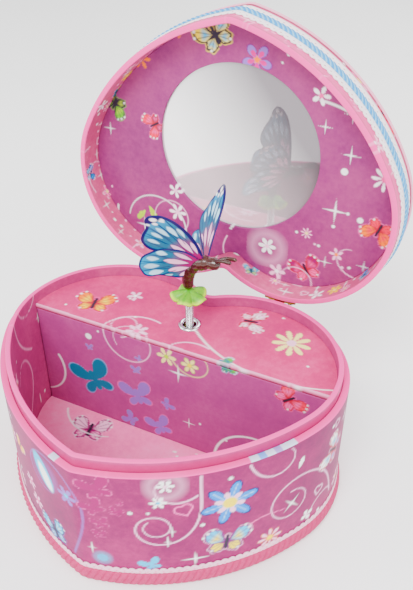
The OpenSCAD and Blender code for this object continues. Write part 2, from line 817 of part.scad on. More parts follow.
// ---- Governor ----
module governor_wheel() {
    pinion_turn = governor_angle + 180 + 180 / governor_pinion_teeth;
    tooth = worm_pitch * 0.15;
    color("goldenrod") translate([0, governor_y, governor_z]) union() {
        bar_x(bracket_x + 0.2, cylinder_wheel_x, 0, 0, pivot_r);
        plate_yz(cylinder_wheel_x - small_w, cylinder_wheel_x)
            polygon(gear(small_m, governor_pinion_teeth, slack = 2.5, turn = pinion_turn));
        plate_yz(worm_x - worm_wheel_t / 2, worm_x + worm_wheel_t / 2) union() {
            circle(worm_wheel_r - 0.55);
            for (k = [0:worm_teeth - 1]) rotate(k * 360 / worm_teeth)
                polygon([[2, -tooth * 1.3], [worm_wheel_r, -tooth], [worm_wheel_r + 0.3, -0.12],
                    [worm_wheel_r + 0.3, 0.12], [worm_wheel_r, tooth], [2, tooth * 1.3]]);
        }
    }
}

// Worm with a fan: the thread is a round bar off its own axis, twisted
module air_brake() {
    turns = 3;
    thread_h = turns * worm_pitch;
    color("silver") translate([worm_x, worm_y, 0]) {
        translate([0, 0, governor_z - thread_h / 2]) rotate(worm_phase)
            linear_extrude(thread_h, twist = -360 * turns, slices = 10 * turns)
            translate([worm_throw, 0]) circle(worm_r, $fn = 10);
        bar_z(0, 0, bracket_lo + 0.1, governor_z - thread_h / 2, pivot_r);
        bar_z(0, 0, governor_z + thread_h / 2, bracket_hi + 1.1, pivot_r);
        translate([-fan_r, -0.25, fan_z]) cube([2 * fan_r, 0.5, fan_h]);
    }
}

// ---- Spindle and figure ----
module spindle() {
    color("silver") {
        bar_z(0, spindle_y, board_top + 0.2, bend_z + 0.8, spindle_r);
        bar_z(0, spindle_y, bed_top + 0.1, wheel_z - 0.4, spindle_r + 1);
    }
}

module spindle_pinion() {
    color("gold") translate([0, spindle_y, wheel_z]) difference() {
        linear_extrude(wheel_t)
            polygon(gear(main_m, spindle_teeth, slack = 1.1, turn = barrel_angle + 180 / spindle_teeth));
        translate([0, 0, -1]) cylinder(h = wheel_t + 2, r = spindle_r + 0.02);
    }
}

// Close-wound spring that carries the figure, as a stack of rings on a core
module figure_spring() {
    height = flower_z - 0.05 - spring_z;
    rings = floor(height / (2.6 * spring_wire_r));
    pitch = height / rings;
    color("silver") translate([0, spindle_y, spring_z]) rotate_extrude() union() {
        square([spring_r, height]);
        for (i = [0:rings - 1]) translate([spring_r, (i + 0.5) * pitch]) circle(spring_wire_r, $fn = 16);
    }
}

// Five-petalled flower: radius flower_r * (0.72 + 0.28 * cos(5 * angle)) and a round boss
module flower() {
    petals = [for (a = [0:5:355]) flower_r * (0.72 + 0.28 * cos(5 * a)) * [cos(a), sin(a)]];
    color("yellowgreen") translate([0, spindle_y, flower_z]) {
        linear_extrude(petal_t) polygon(petals);
        cylinder(h = petal_t + flower_boss, r = 2.6);
    }
}

// Sets local X, Y and Z along the given directions at a point
module placed(at, x_dir, y_dir) {
    z_dir = cross(x_dir, y_dir);
    multmatrix([
        [x_dir[0], y_dir[0], z_dir[0], at[0]],
        [x_dir[1], y_dir[1], z_dir[1], at[1]],
        [x_dir[2], y_dir[2], z_dir[2], at[2]],
        [0, 0, 0, 1]
    ]) children();
}

// Tapered tail, waist, round chest and head, turned about the body's own axis
module butterfly_body() {
    color("saddlebrown") placed([0, spindle_y, tail_z], side_dir, -back_dir) rotate_extrude()
        polygon([[0, 0], [0.9, 0.6], [1.4, body_len * 0.2], [1.6, body_len * 0.42], [1, body_len * 0.52],
            [body_r, body_len * 0.64], [body_r, body_len * 0.76], [0.9, body_len * 0.85],
            [1.5, body_len * 0.92], [1.1, body_len * 0.98], [0, body_len]]);
}

module antennae() {
    head = [0, spindle_y, tail_z] + body_dir * (body_len + 0.3);
    color("saddlebrown") for (side = [-1, 1]) {
        dir = unit(body_dir + side * 0.35 * side_dir - back_dir * 0.5);
        across = unit(cross(back_dir, dir));
        placed(head + side * 0.7 * side_dir, across, cross(dir, across)) cylinder(h = 8, r = 0.3);
    }
}

// Front and back wing of one side, cut from one thin sheet
module wing_pair(side) {
    span = unit(cos(wing_lift) * side * side_dir + sin(wing_lift) * back_dir);
    k = wing_len / 34;
    color("mediumturquoise")
        placed(wing_root + side * 0.4 * side_dir, span, body_dir)
        translate([0, 0, -wing_t / 2]) linear_extrude(wing_t) polygon(k * [
            [0, 1.5], [8, 7.5], [20, 15], [30, 18.5], [35, 17], [34.5, 11], [29, 4], [22, 0.5],
            [27, -2], [29, -8], [25, -14], [17, -14.5], [7, -8], [1, -2]
        ]);
}

module left_wings() {
    wing_pair(1);
}

module right_wings() {
    wing_pair(-1);
}

outer_wall();
bottom_panel();
inner_collar();
compartment_floor();
partition();
shelf();
foot_braid();
foot_lace();
eyelet();
spindle_bush();
hinge_base_leaves();
hinge_pins();
hinge_base_screws();
support_battens();
movement_board();
bedplate();
movement_screws();
movement_frame();
comb_base();
comb();
comb_screws();
governor_bracket();
click_post();
lid_wall();
lid_top();
lid_liner();
lid_spacer();
mirror();
lid_lace();
lid_ribbon();
lid_piping();
hinge_lid_leaves();
hinge_lid_screws();
winding_key();
winding_arbor();
ratchet_wheel();
click();
spring_barrel();
mainspring();
main_wheel();
music_cylinder();
cylinder_arbor();
cylinder_pinion();
cylinder_wheel();
governor_wheel();
air_brake();
spindle();
spindle_pinion();
figure_spring();
flower();
butterfly_body();
antennae();
left_wings();
right_wings();
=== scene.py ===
import json
import math

import bpy
import numpy as np
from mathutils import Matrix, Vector


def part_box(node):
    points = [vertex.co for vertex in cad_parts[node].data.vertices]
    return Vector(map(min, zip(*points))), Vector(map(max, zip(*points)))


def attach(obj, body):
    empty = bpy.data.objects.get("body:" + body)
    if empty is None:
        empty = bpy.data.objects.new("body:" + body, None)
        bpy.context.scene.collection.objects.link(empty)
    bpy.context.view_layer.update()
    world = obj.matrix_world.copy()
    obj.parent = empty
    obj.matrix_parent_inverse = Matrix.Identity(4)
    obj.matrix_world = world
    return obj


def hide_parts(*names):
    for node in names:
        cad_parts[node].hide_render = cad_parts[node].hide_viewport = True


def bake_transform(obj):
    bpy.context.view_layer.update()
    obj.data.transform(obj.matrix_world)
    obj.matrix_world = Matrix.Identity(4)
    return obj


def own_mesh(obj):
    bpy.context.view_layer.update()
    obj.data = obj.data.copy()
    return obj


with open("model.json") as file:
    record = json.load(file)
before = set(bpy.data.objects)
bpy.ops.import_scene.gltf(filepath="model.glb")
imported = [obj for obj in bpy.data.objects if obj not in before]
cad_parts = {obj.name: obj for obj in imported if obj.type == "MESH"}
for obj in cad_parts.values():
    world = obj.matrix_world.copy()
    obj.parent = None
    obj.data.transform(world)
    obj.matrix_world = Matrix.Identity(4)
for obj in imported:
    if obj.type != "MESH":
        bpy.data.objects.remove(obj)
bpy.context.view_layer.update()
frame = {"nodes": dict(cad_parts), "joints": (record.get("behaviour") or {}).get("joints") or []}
nodes = frame["nodes"]
mm = 0.001  # lengths below are in millimetres until a mesh is made
print("frame loaded")


# The heart's outline, made of the same arcs as the frame's, and the boards' thicknesses
heart = {"lobeX": 31, "lobeR": 50, "pointY": 71.5, "pointR": 9, "sideR": 108, "notchR": 4}
boards = {"wall": 3, "collar": 2.2, "lidWall": 2.7, "liner": 1.5, "partition": 2.5, "corner": 0.5}


def corner(node, side):  # lowest (0) or highest (1) corner of a CAD node, in mm
    return np.array(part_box(node)[side]) / mm


def direction(x, y):
    return math.atan2(y, x)


# Arcs from the front point to the notch: centre, radius, first and last angle, and 1 for a hump or -1 for
# a hollow; the side arc touches the point's circle and the lobe's from inside
def heartArcs():
    lobe, point = np.array([heart["lobeX"], 0.0]), np.array([0.0, -heart["pointY"]])
    toLobe, toPoint = heart["sideR"] - heart["lobeR"], heart["sideR"] - heart["pointR"]
    gap = np.linalg.norm(point - lobe)
    along = (toLobe**2 - toPoint**2 + gap**2) / (2 * gap)
    across = math.sqrt(toLobe**2 - along**2)
    line = (point - lobe) / gap
    side = lobe + line * along + np.array([line[1], -line[0]]) * across
    reach = heart["lobeR"] + heart["notchR"]
    notch = np.array([0.0, math.sqrt(reach**2 - heart["lobeX"] ** 2)])
    pointEnd, sideEnd = direction(*(point - side)), direction(*(lobe - side))
    lobeEnd = direction(-heart["lobeX"], notch[1])
    return [
        (point, heart["pointR"], -math.pi / 2, pointEnd, 1),
        (side, heart["sideR"], pointEnd, sideEnd, 1),
        (lobe, heart["lobeR"], sideEnd, lobeEnd, 1),
        (notch, heart["notchR"], lobeEnd - math.pi, -math.pi / 2, -1),
    ]


# Outline points, outward normals and signed distance from the front point, at even steps all the way round
def heartPath(count):
    arcs = heartArcs()
    lengths = [radius * abs(last - first) for _, radius, first, last, _ in arcs]
    half = sum(lengths)
    walk = np.linspace(-half, half, count, endpoint=False)
    points, normals = np.zeros((count, 2)), np.zeros((count, 2))
    start = 0.0
    for (centre, radius, first, last, bulge), length in zip(arcs, lengths):
        here = (np.abs(walk) >= start) & (np.abs(walk) <= start + length)
        angle = first + (last - first) * (np.abs(walk[here]) - start) / length
        ray = np.stack([np.cos(angle), np.sin(angle)], 1)
        points[here], normals[here] = centre + radius * ray, bulge * ray
        start += length
    side = np.where(walk < 0, -1.0, 1.0)[:, None] * [1, 0] + [0, 1]
    return points * side, normals * side, walk


halfGirth = sum(radius * abs(last - first) for _, radius, first, last, _ in heartArcs())
girth = 2 * halfGirth


# Every grid row is one outline point: core + (outline + normal * offset - core) * share, at a height
def carried(path, columns, core=(0.0, 0.0)):
    points, normals, _ = path
    share, offset, height = np.array(columns, float).T
    core = np.broadcast_to(np.array(core, float), points.shape)[:, None, :]
    edge = points[:, None, :] + normals[:, None, :] * offset[None, :, None]
    flat = core + (edge - core) * share[None, :, None]
    return np.dstack([flat, np.broadcast_to(height, flat.shape[:2])])


# Section of a board as (share, offset, height): a rounded rectangle walked up its outer face and down its
# inner one
def section(outer, inner, low, high, outerStep, innerStep, bend=boards["corner"]):
    def run(a, b, step):
        return np.linspace(a, b, max(2, int(abs(b - a) / step) + 1))

    def turned(x, z, first):
        angle = np.radians(first + np.array([18, 36, 54, 72]))
        return [(1, x + bend * math.cos(a), z + bend * math.sin(a)) for a in angle]

    loop = [(1, outer, z) for z in run(low + bend, high - bend, outerStep)]
    loop += turned(outer - bend, high - bend, 0)
    loop += [(1, x, high) for x in run(outer - bend, inner + bend, 0.8)]
    loop += turned(inner + bend, high - bend, 90)
    loop += [(1, inner, z) for z in run(high - bend, low + bend, innerStep)]
    loop += turned(inner + bend, low + bend, 180)
    loop += [(1, x, low) for x in run(inner + bend, outer - bend, 2)]
    return loop + turned(outer - bend, low + bend, 270)


# Joins a grid of points (rows, columns, 3) into faces; a pole column is one point shared by every row, and
# faces whose middle lies inside the hole (x, y, radius) are left out
def surface(name, points, closeRows=False, closeColumns=False, poles=(), caps=False, ink=None, flip=False,
            hole=None):
    rows, columns = points.shape[:2]
    index = np.arange(rows * columns).reshape(rows, columns)
    for pole in poles:
        index[:, pole] = index[0, pole]
    wide = np.vstack([index, index[:1]]) if closeRows else index
    wide = np.hstack([wide, wide[:, :1]]) if closeColumns else wide
    quads = np.stack([wide[:-1, :-1], wide[1:, :-1], wide[1:, 1:], wide[:-1, 1:]], -1).reshape(-1, 4)
    if hole:
        middle = points.reshape(-1, 3)[quads, :2].mean(1)
        quads = quads[np.hypot(middle[:, 0] - hole[0], middle[:, 1] - hole[1]) >= hole[2]]
    first, second = quads[:, 0] == quads[:, 1], quads[:, 2] == quads[:, 3]
    faces = quads[~(first | second)].tolist()
    faces += quads[first][:, [0, 2, 3]].tolist() + quads[second][:, [0, 1, 2]].tolist()
    if caps:
        faces += [index[0].tolist(), index[-1][::-1].tolist()]
    if flip:
        faces = [face[::-1] for face in faces]
    used = np.unique(np.concatenate([np.ravel(face) for face in (quads, index[0], index[-1])]))
    renumbered = np.zeros(rows * columns, int)
    renumbered[used] = np.arange(len(used))
    table = renumbered.tolist()
    mesh = bpy.data.meshes.new(name)
    spots = points.reshape(-1, 3)[used] * mm
    mesh.from_pydata(spots.tolist(), [], [[table[i] for i in face] for face in faces])
    if ink is not None:
        layer = mesh.attributes.new("ink", "FLOAT_COLOR", "POINT")
        layer.data.foreach_set("color", ink.reshape(-1, 4)[used].astype(np.float32).ravel())
    mesh.shade_smooth()
    mesh.update()
    return mesh


def piece(mesh, body, material, replaced=()):
    made = bpy.data.objects.new(mesh.name, mesh)
    bpy.context.scene.collection.objects.link(made)
    mesh.materials.append(material)
    if body:
        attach(made, body)
    if replaced:
        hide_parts(*replaced)
    return made


# A shader socket: sums and products of it are Math nodes, and add() makes every other node
class Wire:
    def __init__(self, tree, socket=None):
        self.tree, self.socket = tree, socket

    # A node of any type: its settings first, then the values or links of its sockets
    def add(self, kind, settings=None, inputs=None, out=0):
        node = self.tree.nodes.new("ShaderNode" + kind)
        for name, value in (settings or {}).items():
            if name == "stops":
                ramp = node.color_ramp
                while len(ramp.elements) < len(value):
                    ramp.elements.new(0.5)
                for stop, (place, colour) in zip(ramp.elements, value):
                    stop.position, stop.color = place, colour
            else:
                setattr(node, name, value)
        for name, value in (inputs or {}).items():
            if isinstance(value, Wire):
                self.tree.links.new(value.socket, node.inputs[name])
            else:
                node.inputs[name].default_value = value
        return Wire(self.tree, node.outputs[out] if node.outputs else None)

    def also(self, out):  # another output of the same node
        return Wire(self.tree, self.socket.node.outputs[out])

    def maths(self, operation, *values):
        return self.add("Math", {"operation": operation}, dict(enumerate(values)))

    def __add__(self, other):
        return self.maths("ADD", self, other)

    def __sub__(self, other):
        return self.maths("SUBTRACT", self, other)

    def __mul__(self, other):
        return self.maths("MULTIPLY", self, other)

    def __radd__(self, other):
        return self.maths("ADD", other, self)

    def __rsub__(self, other):
        return self.maths("SUBTRACT", other, self)

    def __rmul__(self, other):
        return self.maths("MULTIPLY", other, self)

    def clamped(self):
        return self.maths("MINIMUM", self.maths("MAXIMUM", self, 0.0), 1.0)

    def noise(self, where, scale, detail=3.0, roughness=0.55):
        inputs = {"Vector": where, "Scale": scale, "Detail": detail, "Roughness": roughness}
        return self.add("TexNoise", {}, inputs)

    def ramp(self, *stops):
        return self.add("ValToRGB", {"stops": stops}, {"Fac": self})

    def split(self):  # the x, y and z of a vector
        x = self.add("SeparateXYZ", {}, {0: self})
        return x, x.also(1), x.also(2)


def tone(code):  # linear colour of an sRGB hex code
    parts = [int(code[i : i + 2], 16) / 255 for i in (0, 2, 4)]
    return tuple(p / 12.92 if p < 0.04045 else ((p + 0.055) / 1.055) ** 2.4 for p in parts) + (1.0,)


def newMaterial(name):
    material = bpy.data.materials.new(name)
    material.use_nodes = True
    tree = material.node_tree
    tree.nodes.clear()
    graph = Wire(tree)
    return material, graph, graph.add("TexCoord", out="Object")


# Closes a material with one Principled shader and, if a height is given, a bump of that depth in mm
def finished(material, graph, height=None, depth=0.1, **sockets):
    inputs = {name.replace("_", " "): value for name, value in sockets.items()}
    if height is not None:
        bump = {"Strength": 1.0, "Distance": depth * mm, "Height": height}
        inputs["Normal"] = graph.add("Bump", {}, bump)
    graph.add("OutputMaterial", {}, {"Surface": graph.add("BsdfPrincipled", {}, inputs)})
    return material


def overInk(graph, ground):  # the ground colour with the printed ink over it
    ink = graph.add("Attribute", {"attribute_name": "ink"}, out="Color")
    cover = ink.also("Alpha")
    left = graph.add("VectorMath", {"operation": "SCALE"}, {0: ground, "Scale": 1.0 - cover})
    return graph.add("VectorMath", {"operation": "ADD"}, {0: left, 1: ink}), cover


paper = {"clouds": 38.0, "fibres": 420.0, "lumps": 90.0, "gloss": 0.42, "coat": 0.03, "relief": 0.06}


# Printed and laminated paper: clouds of three pinks, a fine fibre mottle and the ink on top
def printedPaper(name, dark, mid, light):
    material, graph, where = newMaterial(name)
    cloud = graph.noise(where, paper["clouds"], 5.0, 0.6)
    fibre = graph.noise(where, paper["fibres"], 4.0, 0.65)
    mottle = (cloud * 0.75 + fibre * 0.4 - 0.07).clamped()
    ground = mottle.ramp((0.32, tone(dark)), (0.5, tone(mid)), (0.7, tone(light)))
    colour, cover = overInk(graph, ground)
    rough = paper["gloss"] + fibre * 0.16 - cover * 0.05
    height = fibre * 0.7 + graph.noise(where, paper["lumps"], 2.0) * 0.5
    return finished(
        material, graph, height, paper["relief"], Base_Color=colour, Roughness=rough,
        Coat_Weight=paper["coat"], Coat_Roughness=0.18, Specular_IOR_Level=0.12,
    )


# Thread or ribbon: fine crossed threads in the colour and the relief, with a soft sheen
def woven(name, dark, light, pitch, sheen):
    material, graph, where = newMaterial(name)
    x, y, z = where.split()
    turns = math.tau / (pitch * mm)
    warp = graph.maths("SINE", (x + y) * turns)
    weft = graph.maths("SINE", (z + y * 0.3) * turns)
    thread = warp * weft * 0.5 + 0.5
    fuzz = graph.noise(where, 900.0, 3.0)
    ground = (thread * 0.5 + fuzz * 0.55).clamped().ramp((0.2, tone(dark)), (0.75, tone(light)))
    colour, _ = overInk(graph, ground)
    return finished(
        material, graph, thread * 0.6 + fuzz * 0.5, 0.12, Base_Color=colour, Roughness=0.62 + fuzz * 0.2,
        Sheen_Weight=sheen, Sheen_Roughness=0.4, Specular_IOR_Level=0.1,
    )


# Metal: drawn or tumbled grain in colour, gloss and relief, duller where it has been handled
def metal(name, dark, light, gloss, grain=(60.0, 60.0, 900.0), depth=0.02):
    material, graph, where = newMaterial(name)
    stretched = graph.add("Mapping", {}, {"Vector": where, "Scale": grain})
    drawn = graph.noise(stretched, 1.0, 4.0)
    worn = graph.noise(where, 120.0, 3.0)
    colour = (drawn * 0.5 + worn * 0.5).ramp((0.35, tone(dark)), (0.65, tone(light)))
    return finished(
        material, graph, drawn, depth, Base_Color=colour, Metallic=1.0,
        Roughness=gloss + worn * 0.16 + drawn * 0.06,
    )


# Moulded plastic: clouded colour, faint flow marks and a clear coat
def moulded(name, dark, light, gloss, coat, inked=False, shine=0.5):
    material, graph, where = newMaterial(name)
    cloud = graph.noise(where, 260.0, 3.0)
    flow = graph.noise(where, 1400.0, 2.0)
    colour = (cloud * 0.8 + flow * 0.2).ramp((0.35, tone(dark)), (0.68, tone(light)))
    if inked:
        colour, _ = overInk(graph, colour)
    return finished(
        material, graph, cloud * 0.6 + flow * 0.1, 0.02, Base_Color=colour, Roughness=gloss + flow * 0.05,
        Coat_Weight=coat, Coat_Roughness=0.08, Specular_IOR_Level=shine,
    )


# Board or wood: long streaks along X over fine flecks
def fibrous(name, dark, light, streak=(12.0, 140.0, 140.0)):
    material, graph, where = newMaterial(name)
    stretched = graph.add("Mapping", {}, {"Vector": where, "Scale": streak})
    grain, flecks = graph.noise(stretched, 1.0, 6.0, 0.6), graph.noise(where, 700.0, 3.0)
    colour = (grain * 0.6 + flecks * 0.45).clamped().ramp((0.35, tone(dark)), (0.7, tone(light)))
    return finished(
        material, graph, grain + flecks * 0.5, 0.12, Base_Color=colour, Roughness=0.66 + flecks * 0.2
    )


# Mirror film behind its window: half mirror, half a painted reflection that greys towards the top right
def mirrorFilm(name):
    material, graph, where = newMaterial(name)
    x, _, z = where.split()
    slope = (x * 11.0 + (z - 0.13) * 9.0 + 0.4).clamped()
    # painted reflection: the mirror's colour runs from white to grey across it
    paintedReflection = slope.ramp((0.1, tone("ffffff")), (0.85, tone("7c757a")))
    smear = graph.noise(where, 60.0, 4.0)
    return finished(
        material, graph, Base_Color=paintedReflection, Metallic=0.5, Roughness=0.015 + smear * 0.03, Coat_Weight=0.1,
        Coat_Roughness=0.02,
    )


print("materials ready")


palette = {
    "white": "ffffff", "blush": "fcc4dd", "rose": "ee6c9f", "pink": "f27cb0", "magenta": "84105a",
    "plum": "6a2b66", "navy": "10144c", "blue": "2f7fc8", "sky": "62b8e0", "ice": "c9e9f7", "teal": "066880",
    "violet": "8a6bb0", "yellow": "f4e27a", "cream": "f8efb4", "orange": "f08a4a", "red": "d8305c",
    "crimson": "a3163f", "green": "7fb84e", "lime": "b9d654", "black": "2a2330", "grey": "b9a9bd",
    "fuchsia": "c03080", "edge": "e2669f",
}
vivid = 1.5  # how far each ink is pushed away from its own grey


def inkTone(code):
    colour = np.array(tone(code)[:3])
    grey = colour @ [0.2126, 0.7152, 0.0722]
    return np.clip(grey + (colour - grey) * vivid, 0, 1) * 0.95


inks = {name: inkTone(code) for name, code in palette.items()}


# Depth inside a petal (mm): the lesser of the way to its round end and the way to its straight sides
def petalDepth(r, angle, middle, half, length, blunt=0.5):
    off = (angle - middle + math.pi) % math.tau - math.pi
    share = np.clip(np.abs(off) / half, 0, 1)
    return np.minimum(length * np.cos(share * math.pi / 2) ** blunt - r, r * half * (1 - np.abs(off) / half))


# Inks of the scattered butterflies (rim, wing, glow, hind wing) and flowers (petal, rim, eye)
wingSets = [("navy", "blue", "sky", "ice"), ("crimson", "red", "pink", "rose"),
            ("plum", "fuchsia", "pink", "violet"), ("black", "yellow", "teal", "sky"),
            ("teal", "sky", "cream", "green")]
bloomSets = [("pink", "white", "cream"), ("sky", "navy", "yellow"), ("white", "blush", "blush"),
             ("yellow", "orange", "cream"), ("blush", "fuchsia", "orange")]


# A printed surface: the flat place of each of its points in mm, and the ink laid so far (colour times cover)
class Sheet:
    def __init__(self, x, y, around=0.0):
        self.x, self.y, self.around = np.ravel(x), np.ravel(y), around
        self.ink = np.zeros((self.x.size, 4))
        self.taken = []

    def near(self, x, y, reach, turn=0.0):
        dx, dy = self.x - x, self.y - y
        if self.around:
            dx = (dx + self.around / 2) % self.around - self.around / 2
        here = np.flatnonzero((np.abs(dx) < reach) & (np.abs(dy) < reach))
        dx, dy = dx[here], dy[here]
        cos, sin = math.cos(math.radians(turn)), math.sin(math.radians(turn))
        return here, dx * cos + dy * sin, dy * cos - dx * sin

    def lay(self, here, depth, ink, soft=0.45, strength=1.0):
        cover = np.clip(0.5 + depth / soft, 0, 1)[:, None] * strength
        full = np.append(inks[ink] if isinstance(ink, str) else ink, 1.0)
        self.ink[here] = self.ink[here] * (1 - cover) + full * cover

    def fill(self, where, ink, strength):  # an even ink wherever the mask is true
        here = np.flatnonzero(where)
        self.lay(here, np.ones(here.size), ink, strength=strength)

    def dot(self, x, y, radius, ink="white", strength=1.0):
        here, u, v = self.near(x, y, radius + 1)
        self.lay(here, radius - np.hypot(u, v), ink, strength=strength)

    # Four needles crossed at right angles
    def sparkle(self, x, y, radius, ink="white", turn=0.0):
        here, u, v = self.near(x, y, radius + 1, turn)
        u, v = np.abs(u), np.abs(v)
        thick = 0.1 * radius
        depth = np.maximum(thick * (1 - u / radius) - v, thick * (1 - v / radius) - u)
        self.lay(here, depth + 0.02, ink)

    def oval(self, x, y, long, wide, turn, ink):
        here, u, v = self.near(x, y, long + 1, turn)
        self.lay(here, (1 - np.hypot(u / long, v / wide)) * wide, ink, soft=0.8)

    # A pale ring that fades inwards
    def halo(self, x, y, radius, ink="blush"):
        here, u, v = self.near(x, y, radius + 1)
        r = np.hypot(u, v)
        self.lay(here, np.minimum(radius - r, r - radius * 0.55), ink, soft=radius * 0.5, strength=0.4)

    # Outlined heart: distance to a heart of two quarter circles and a point
    def smallHeart(self, x, y, size, ink="blush", turn=0.0):
        here, u, v = self.near(x, y, size + 1, turn)
        u, v = np.abs(u) / size, v / size + 0.5
        lobe = np.hypot(u - 0.25, v - 0.75) - math.sqrt(2) / 4
        low = np.maximum(u + v, 0) * 0.5
        point = np.minimum(np.hypot(u, v - 1), np.hypot(u - low, v - low)) * np.sign(u - v)
        depth = np.abs(np.where(u + v > 1, lobe, point)) * size
        self.lay(here, 0.32 - depth, ink)

    # Petals round a centre; blunt below 1 rounds them and above 1 points them
    def flower(self, x, y, radius, petals, petal, rim, eye, blunt=0.5, slim=0.95, turn=0.0, inner=None):
        here, u, v = self.near(x, y, radius + 1, turn)
        r, angle = np.hypot(u, v), np.arctan2(v, u)
        part = math.tau / petals
        folded = (angle + part / 2) % part - part / 2
        depth = petalDepth(r, folded, 0.0, part / 2 * slim, radius, blunt)
        self.lay(here, depth, rim)
        self.lay(here, depth - 0.07 * radius, petal)
        if inner:
            half = (angle % part) - part / 2
            self.lay(here, petalDepth(r, half, 0.0, part * 0.38, radius * 0.52, 0.5), inner)
            self.lay(here, 0.16 - np.abs(folded) * r - np.maximum(0, r - radius * 0.8), "ice", strength=0.8)
        self.lay(here, 0.24 * radius - r, eye)

    # Two pairs of petal-shaped wings mirrored about a slim body; span is from tip to tip, and with no wing
    # ink it is a plain silhouette in the rim's
    def butterfly(self, x, y, span, turn, rim, wing=None, glow=None, hind=None, halo="blush"):
        here, u, v = self.near(x, y, span * 0.75, turn)
        k, u = span / 2, np.abs(u)
        r, angle = np.hypot(u, v), np.arctan2(v, u)
        fore = petalDepth(r, angle, 0.5, 0.72, k * (1.04 + 0.3 * (angle - 0.5)), 0.34)
        rear = petalDepth(r, angle, -0.66, 0.8, k * 0.74 * (1 + 0.05 * np.cos(angle * 14)), 0.36)
        body = 0.075 * k - np.hypot(u, np.maximum(np.abs(v) - 0.34 * k, 0))
        both = np.maximum(fore, rear)
        if not wing:  # a silhouette has longer fore wings and a notch behind them
            fore = petalDepth(r, angle, 0.68, 0.6, k * (1.16 + 0.3 * (angle - 0.6)), 0.5)
            rear = petalDepth(r, angle, -0.62, 0.58, k * 0.78, 0.5)
            both = np.maximum(fore, rear)
        if halo:
            self.lay(here, np.maximum(both, body) + 0.05 * k + 0.12, halo, strength=0.6)
        if not wing:
            self.lay(here, np.maximum(both, body + 0.06 * k), rim)
            return
        self.lay(here, both, rim)
        self.lay(here, rear - 0.1 * k, hind or wing)
        self.lay(here, fore - 0.1 * k, wing)
        self.lay(here, np.minimum(both - 0.2 * k, 0.62 * k - r), glow, soft=0.25 * k)
        for vein in (0.95, 0.62, 0.32, -0.4, -0.75, -1.1):
            line = np.abs(angle - vein) * r
            self.lay(here, np.minimum(0.02 * k + 0.05 - line, both), rim, strength=0.7)
        for place, size in ((0.35, 0.055), (0.62, 0.06), (0.88, 0.05), (-0.72, 0.05)):
            reach = (1.0 if place > 0 else 0.68) * k
            spot = np.hypot(u - reach * math.cos(place), v - reach * math.sin(place))
            self.lay(here, size * k + 0.05 - spot, "white", strength=0.85)
        self.lay(here, body, "black")

    # A stem whose bend grows evenly from one end to the other, so that it curls into a spiral
    def vine(self, x, y, heading, length, bend, curl, width=0.75, ink="blush", strength=0.95):
        walk = np.arange(0.0, length, 0.5)
        angle = math.radians(heading) + np.radians(bend) * walk + np.radians(curl) * walk**2 / 2
        px, py = x + np.cumsum(np.cos(angle)) * 0.5, y + np.cumsum(np.sin(angle)) * 0.5
        middleX, middleY = (px.min() + px.max()) / 2, (py.min() + py.max()) / 2
        reach = max(np.ptp(px), np.ptp(py)) / 2 + 2
        here, u, v = self.near(middleX, middleY, reach)
        for part in np.array_split(np.arange(here.size), max(1, here.size * walk.size // 4000000)):
            du = u[part, None] - (px - middleX)[None, :]
            dv = v[part, None] - (py - middleY)[None, :]
            closest = np.argmin(du**2 + dv**2, 1)
            row = np.arange(part.size)
            du, dv, along = du[row, closest], dv[row, closest], angle[closest]
            across = np.abs(dv * np.cos(along) - du * np.sin(along))
            past = np.maximum(np.abs(du * np.cos(along) + dv * np.sin(along)) - 0.5, 0)
            half = width / 2 * (1 - 0.55 * walk[closest] / length)
            self.lay(here[part], half - np.hypot(across, past), ink, strength=strength)

    def leaf(self, x, y, length, turn, ink="white"):
        here, u, v = self.near(x, y, length + 1, turn)
        self.lay(here, petalDepth(np.hypot(u, v), np.arctan2(v, u), 0.0, 0.5, length, 0.8), ink)

    def keepClear(self, x, y, radius):
        self.taken.append((x, y, radius))

    # Fills what is left with small motifs at random places that keep their distance; the seed fixes them
    def scatter(self, low, high, count, seed, large=9.0):
        chance = np.random.default_rng(seed)
        for number in range(count):
            kind = number % 10
            radius = {0: large, 1: large * 0.75, 2: large * 0.6, 3: large * 0.9}.get(kind, 1.6)
            for attempt in range(40):
                x, y = chance.uniform(low[0], high[0]), chance.uniform(low[1], high[1])
                half = girth / 2
                clear = all(
                    math.hypot((x - a + half) % girth - half if self.around else x - a, y - b) > radius + c
                    for a, b, c in self.taken
                )
                if clear:
                    break
            else:
                continue
            self.keepClear(x, y, radius)
            turn, pick = chance.uniform(-60, 60), int(chance.integers(5))
            if kind == 0:
                rim, wing, glow, hind = wingSets[pick]
                self.butterfly(x, y, radius * 1.8, turn, rim, wing, glow, hind)
            elif kind == 1:
                petal, rim, eye = bloomSets[pick]
                blunt = (1.1, 0.5)[pick % 2]
                self.flower(x, y, radius, 5 + pick % 2, petal, rim, eye, blunt, turn=turn)
            elif kind == 2:
                self.flower(x, y, radius, 8, "blush", "pink", "cream", 0.4, 0.7, turn)
            elif kind == 3:
                way = 1 if pick % 2 else -1
                self.vine(x, y, turn * 3, radius * 5.5, 2.0 * way, 0.42 * way, 0.7)
            elif kind in (4, 7):
                self.sparkle(x, y, 2.2 + pick * 0.3)
            elif kind == 5:
                self.smallHeart(x, y, 3.4, turn=turn)
            else:
                self.dot(x, y, 0.45 + pick * 0.1, ("white", "blush")[pick % 2])


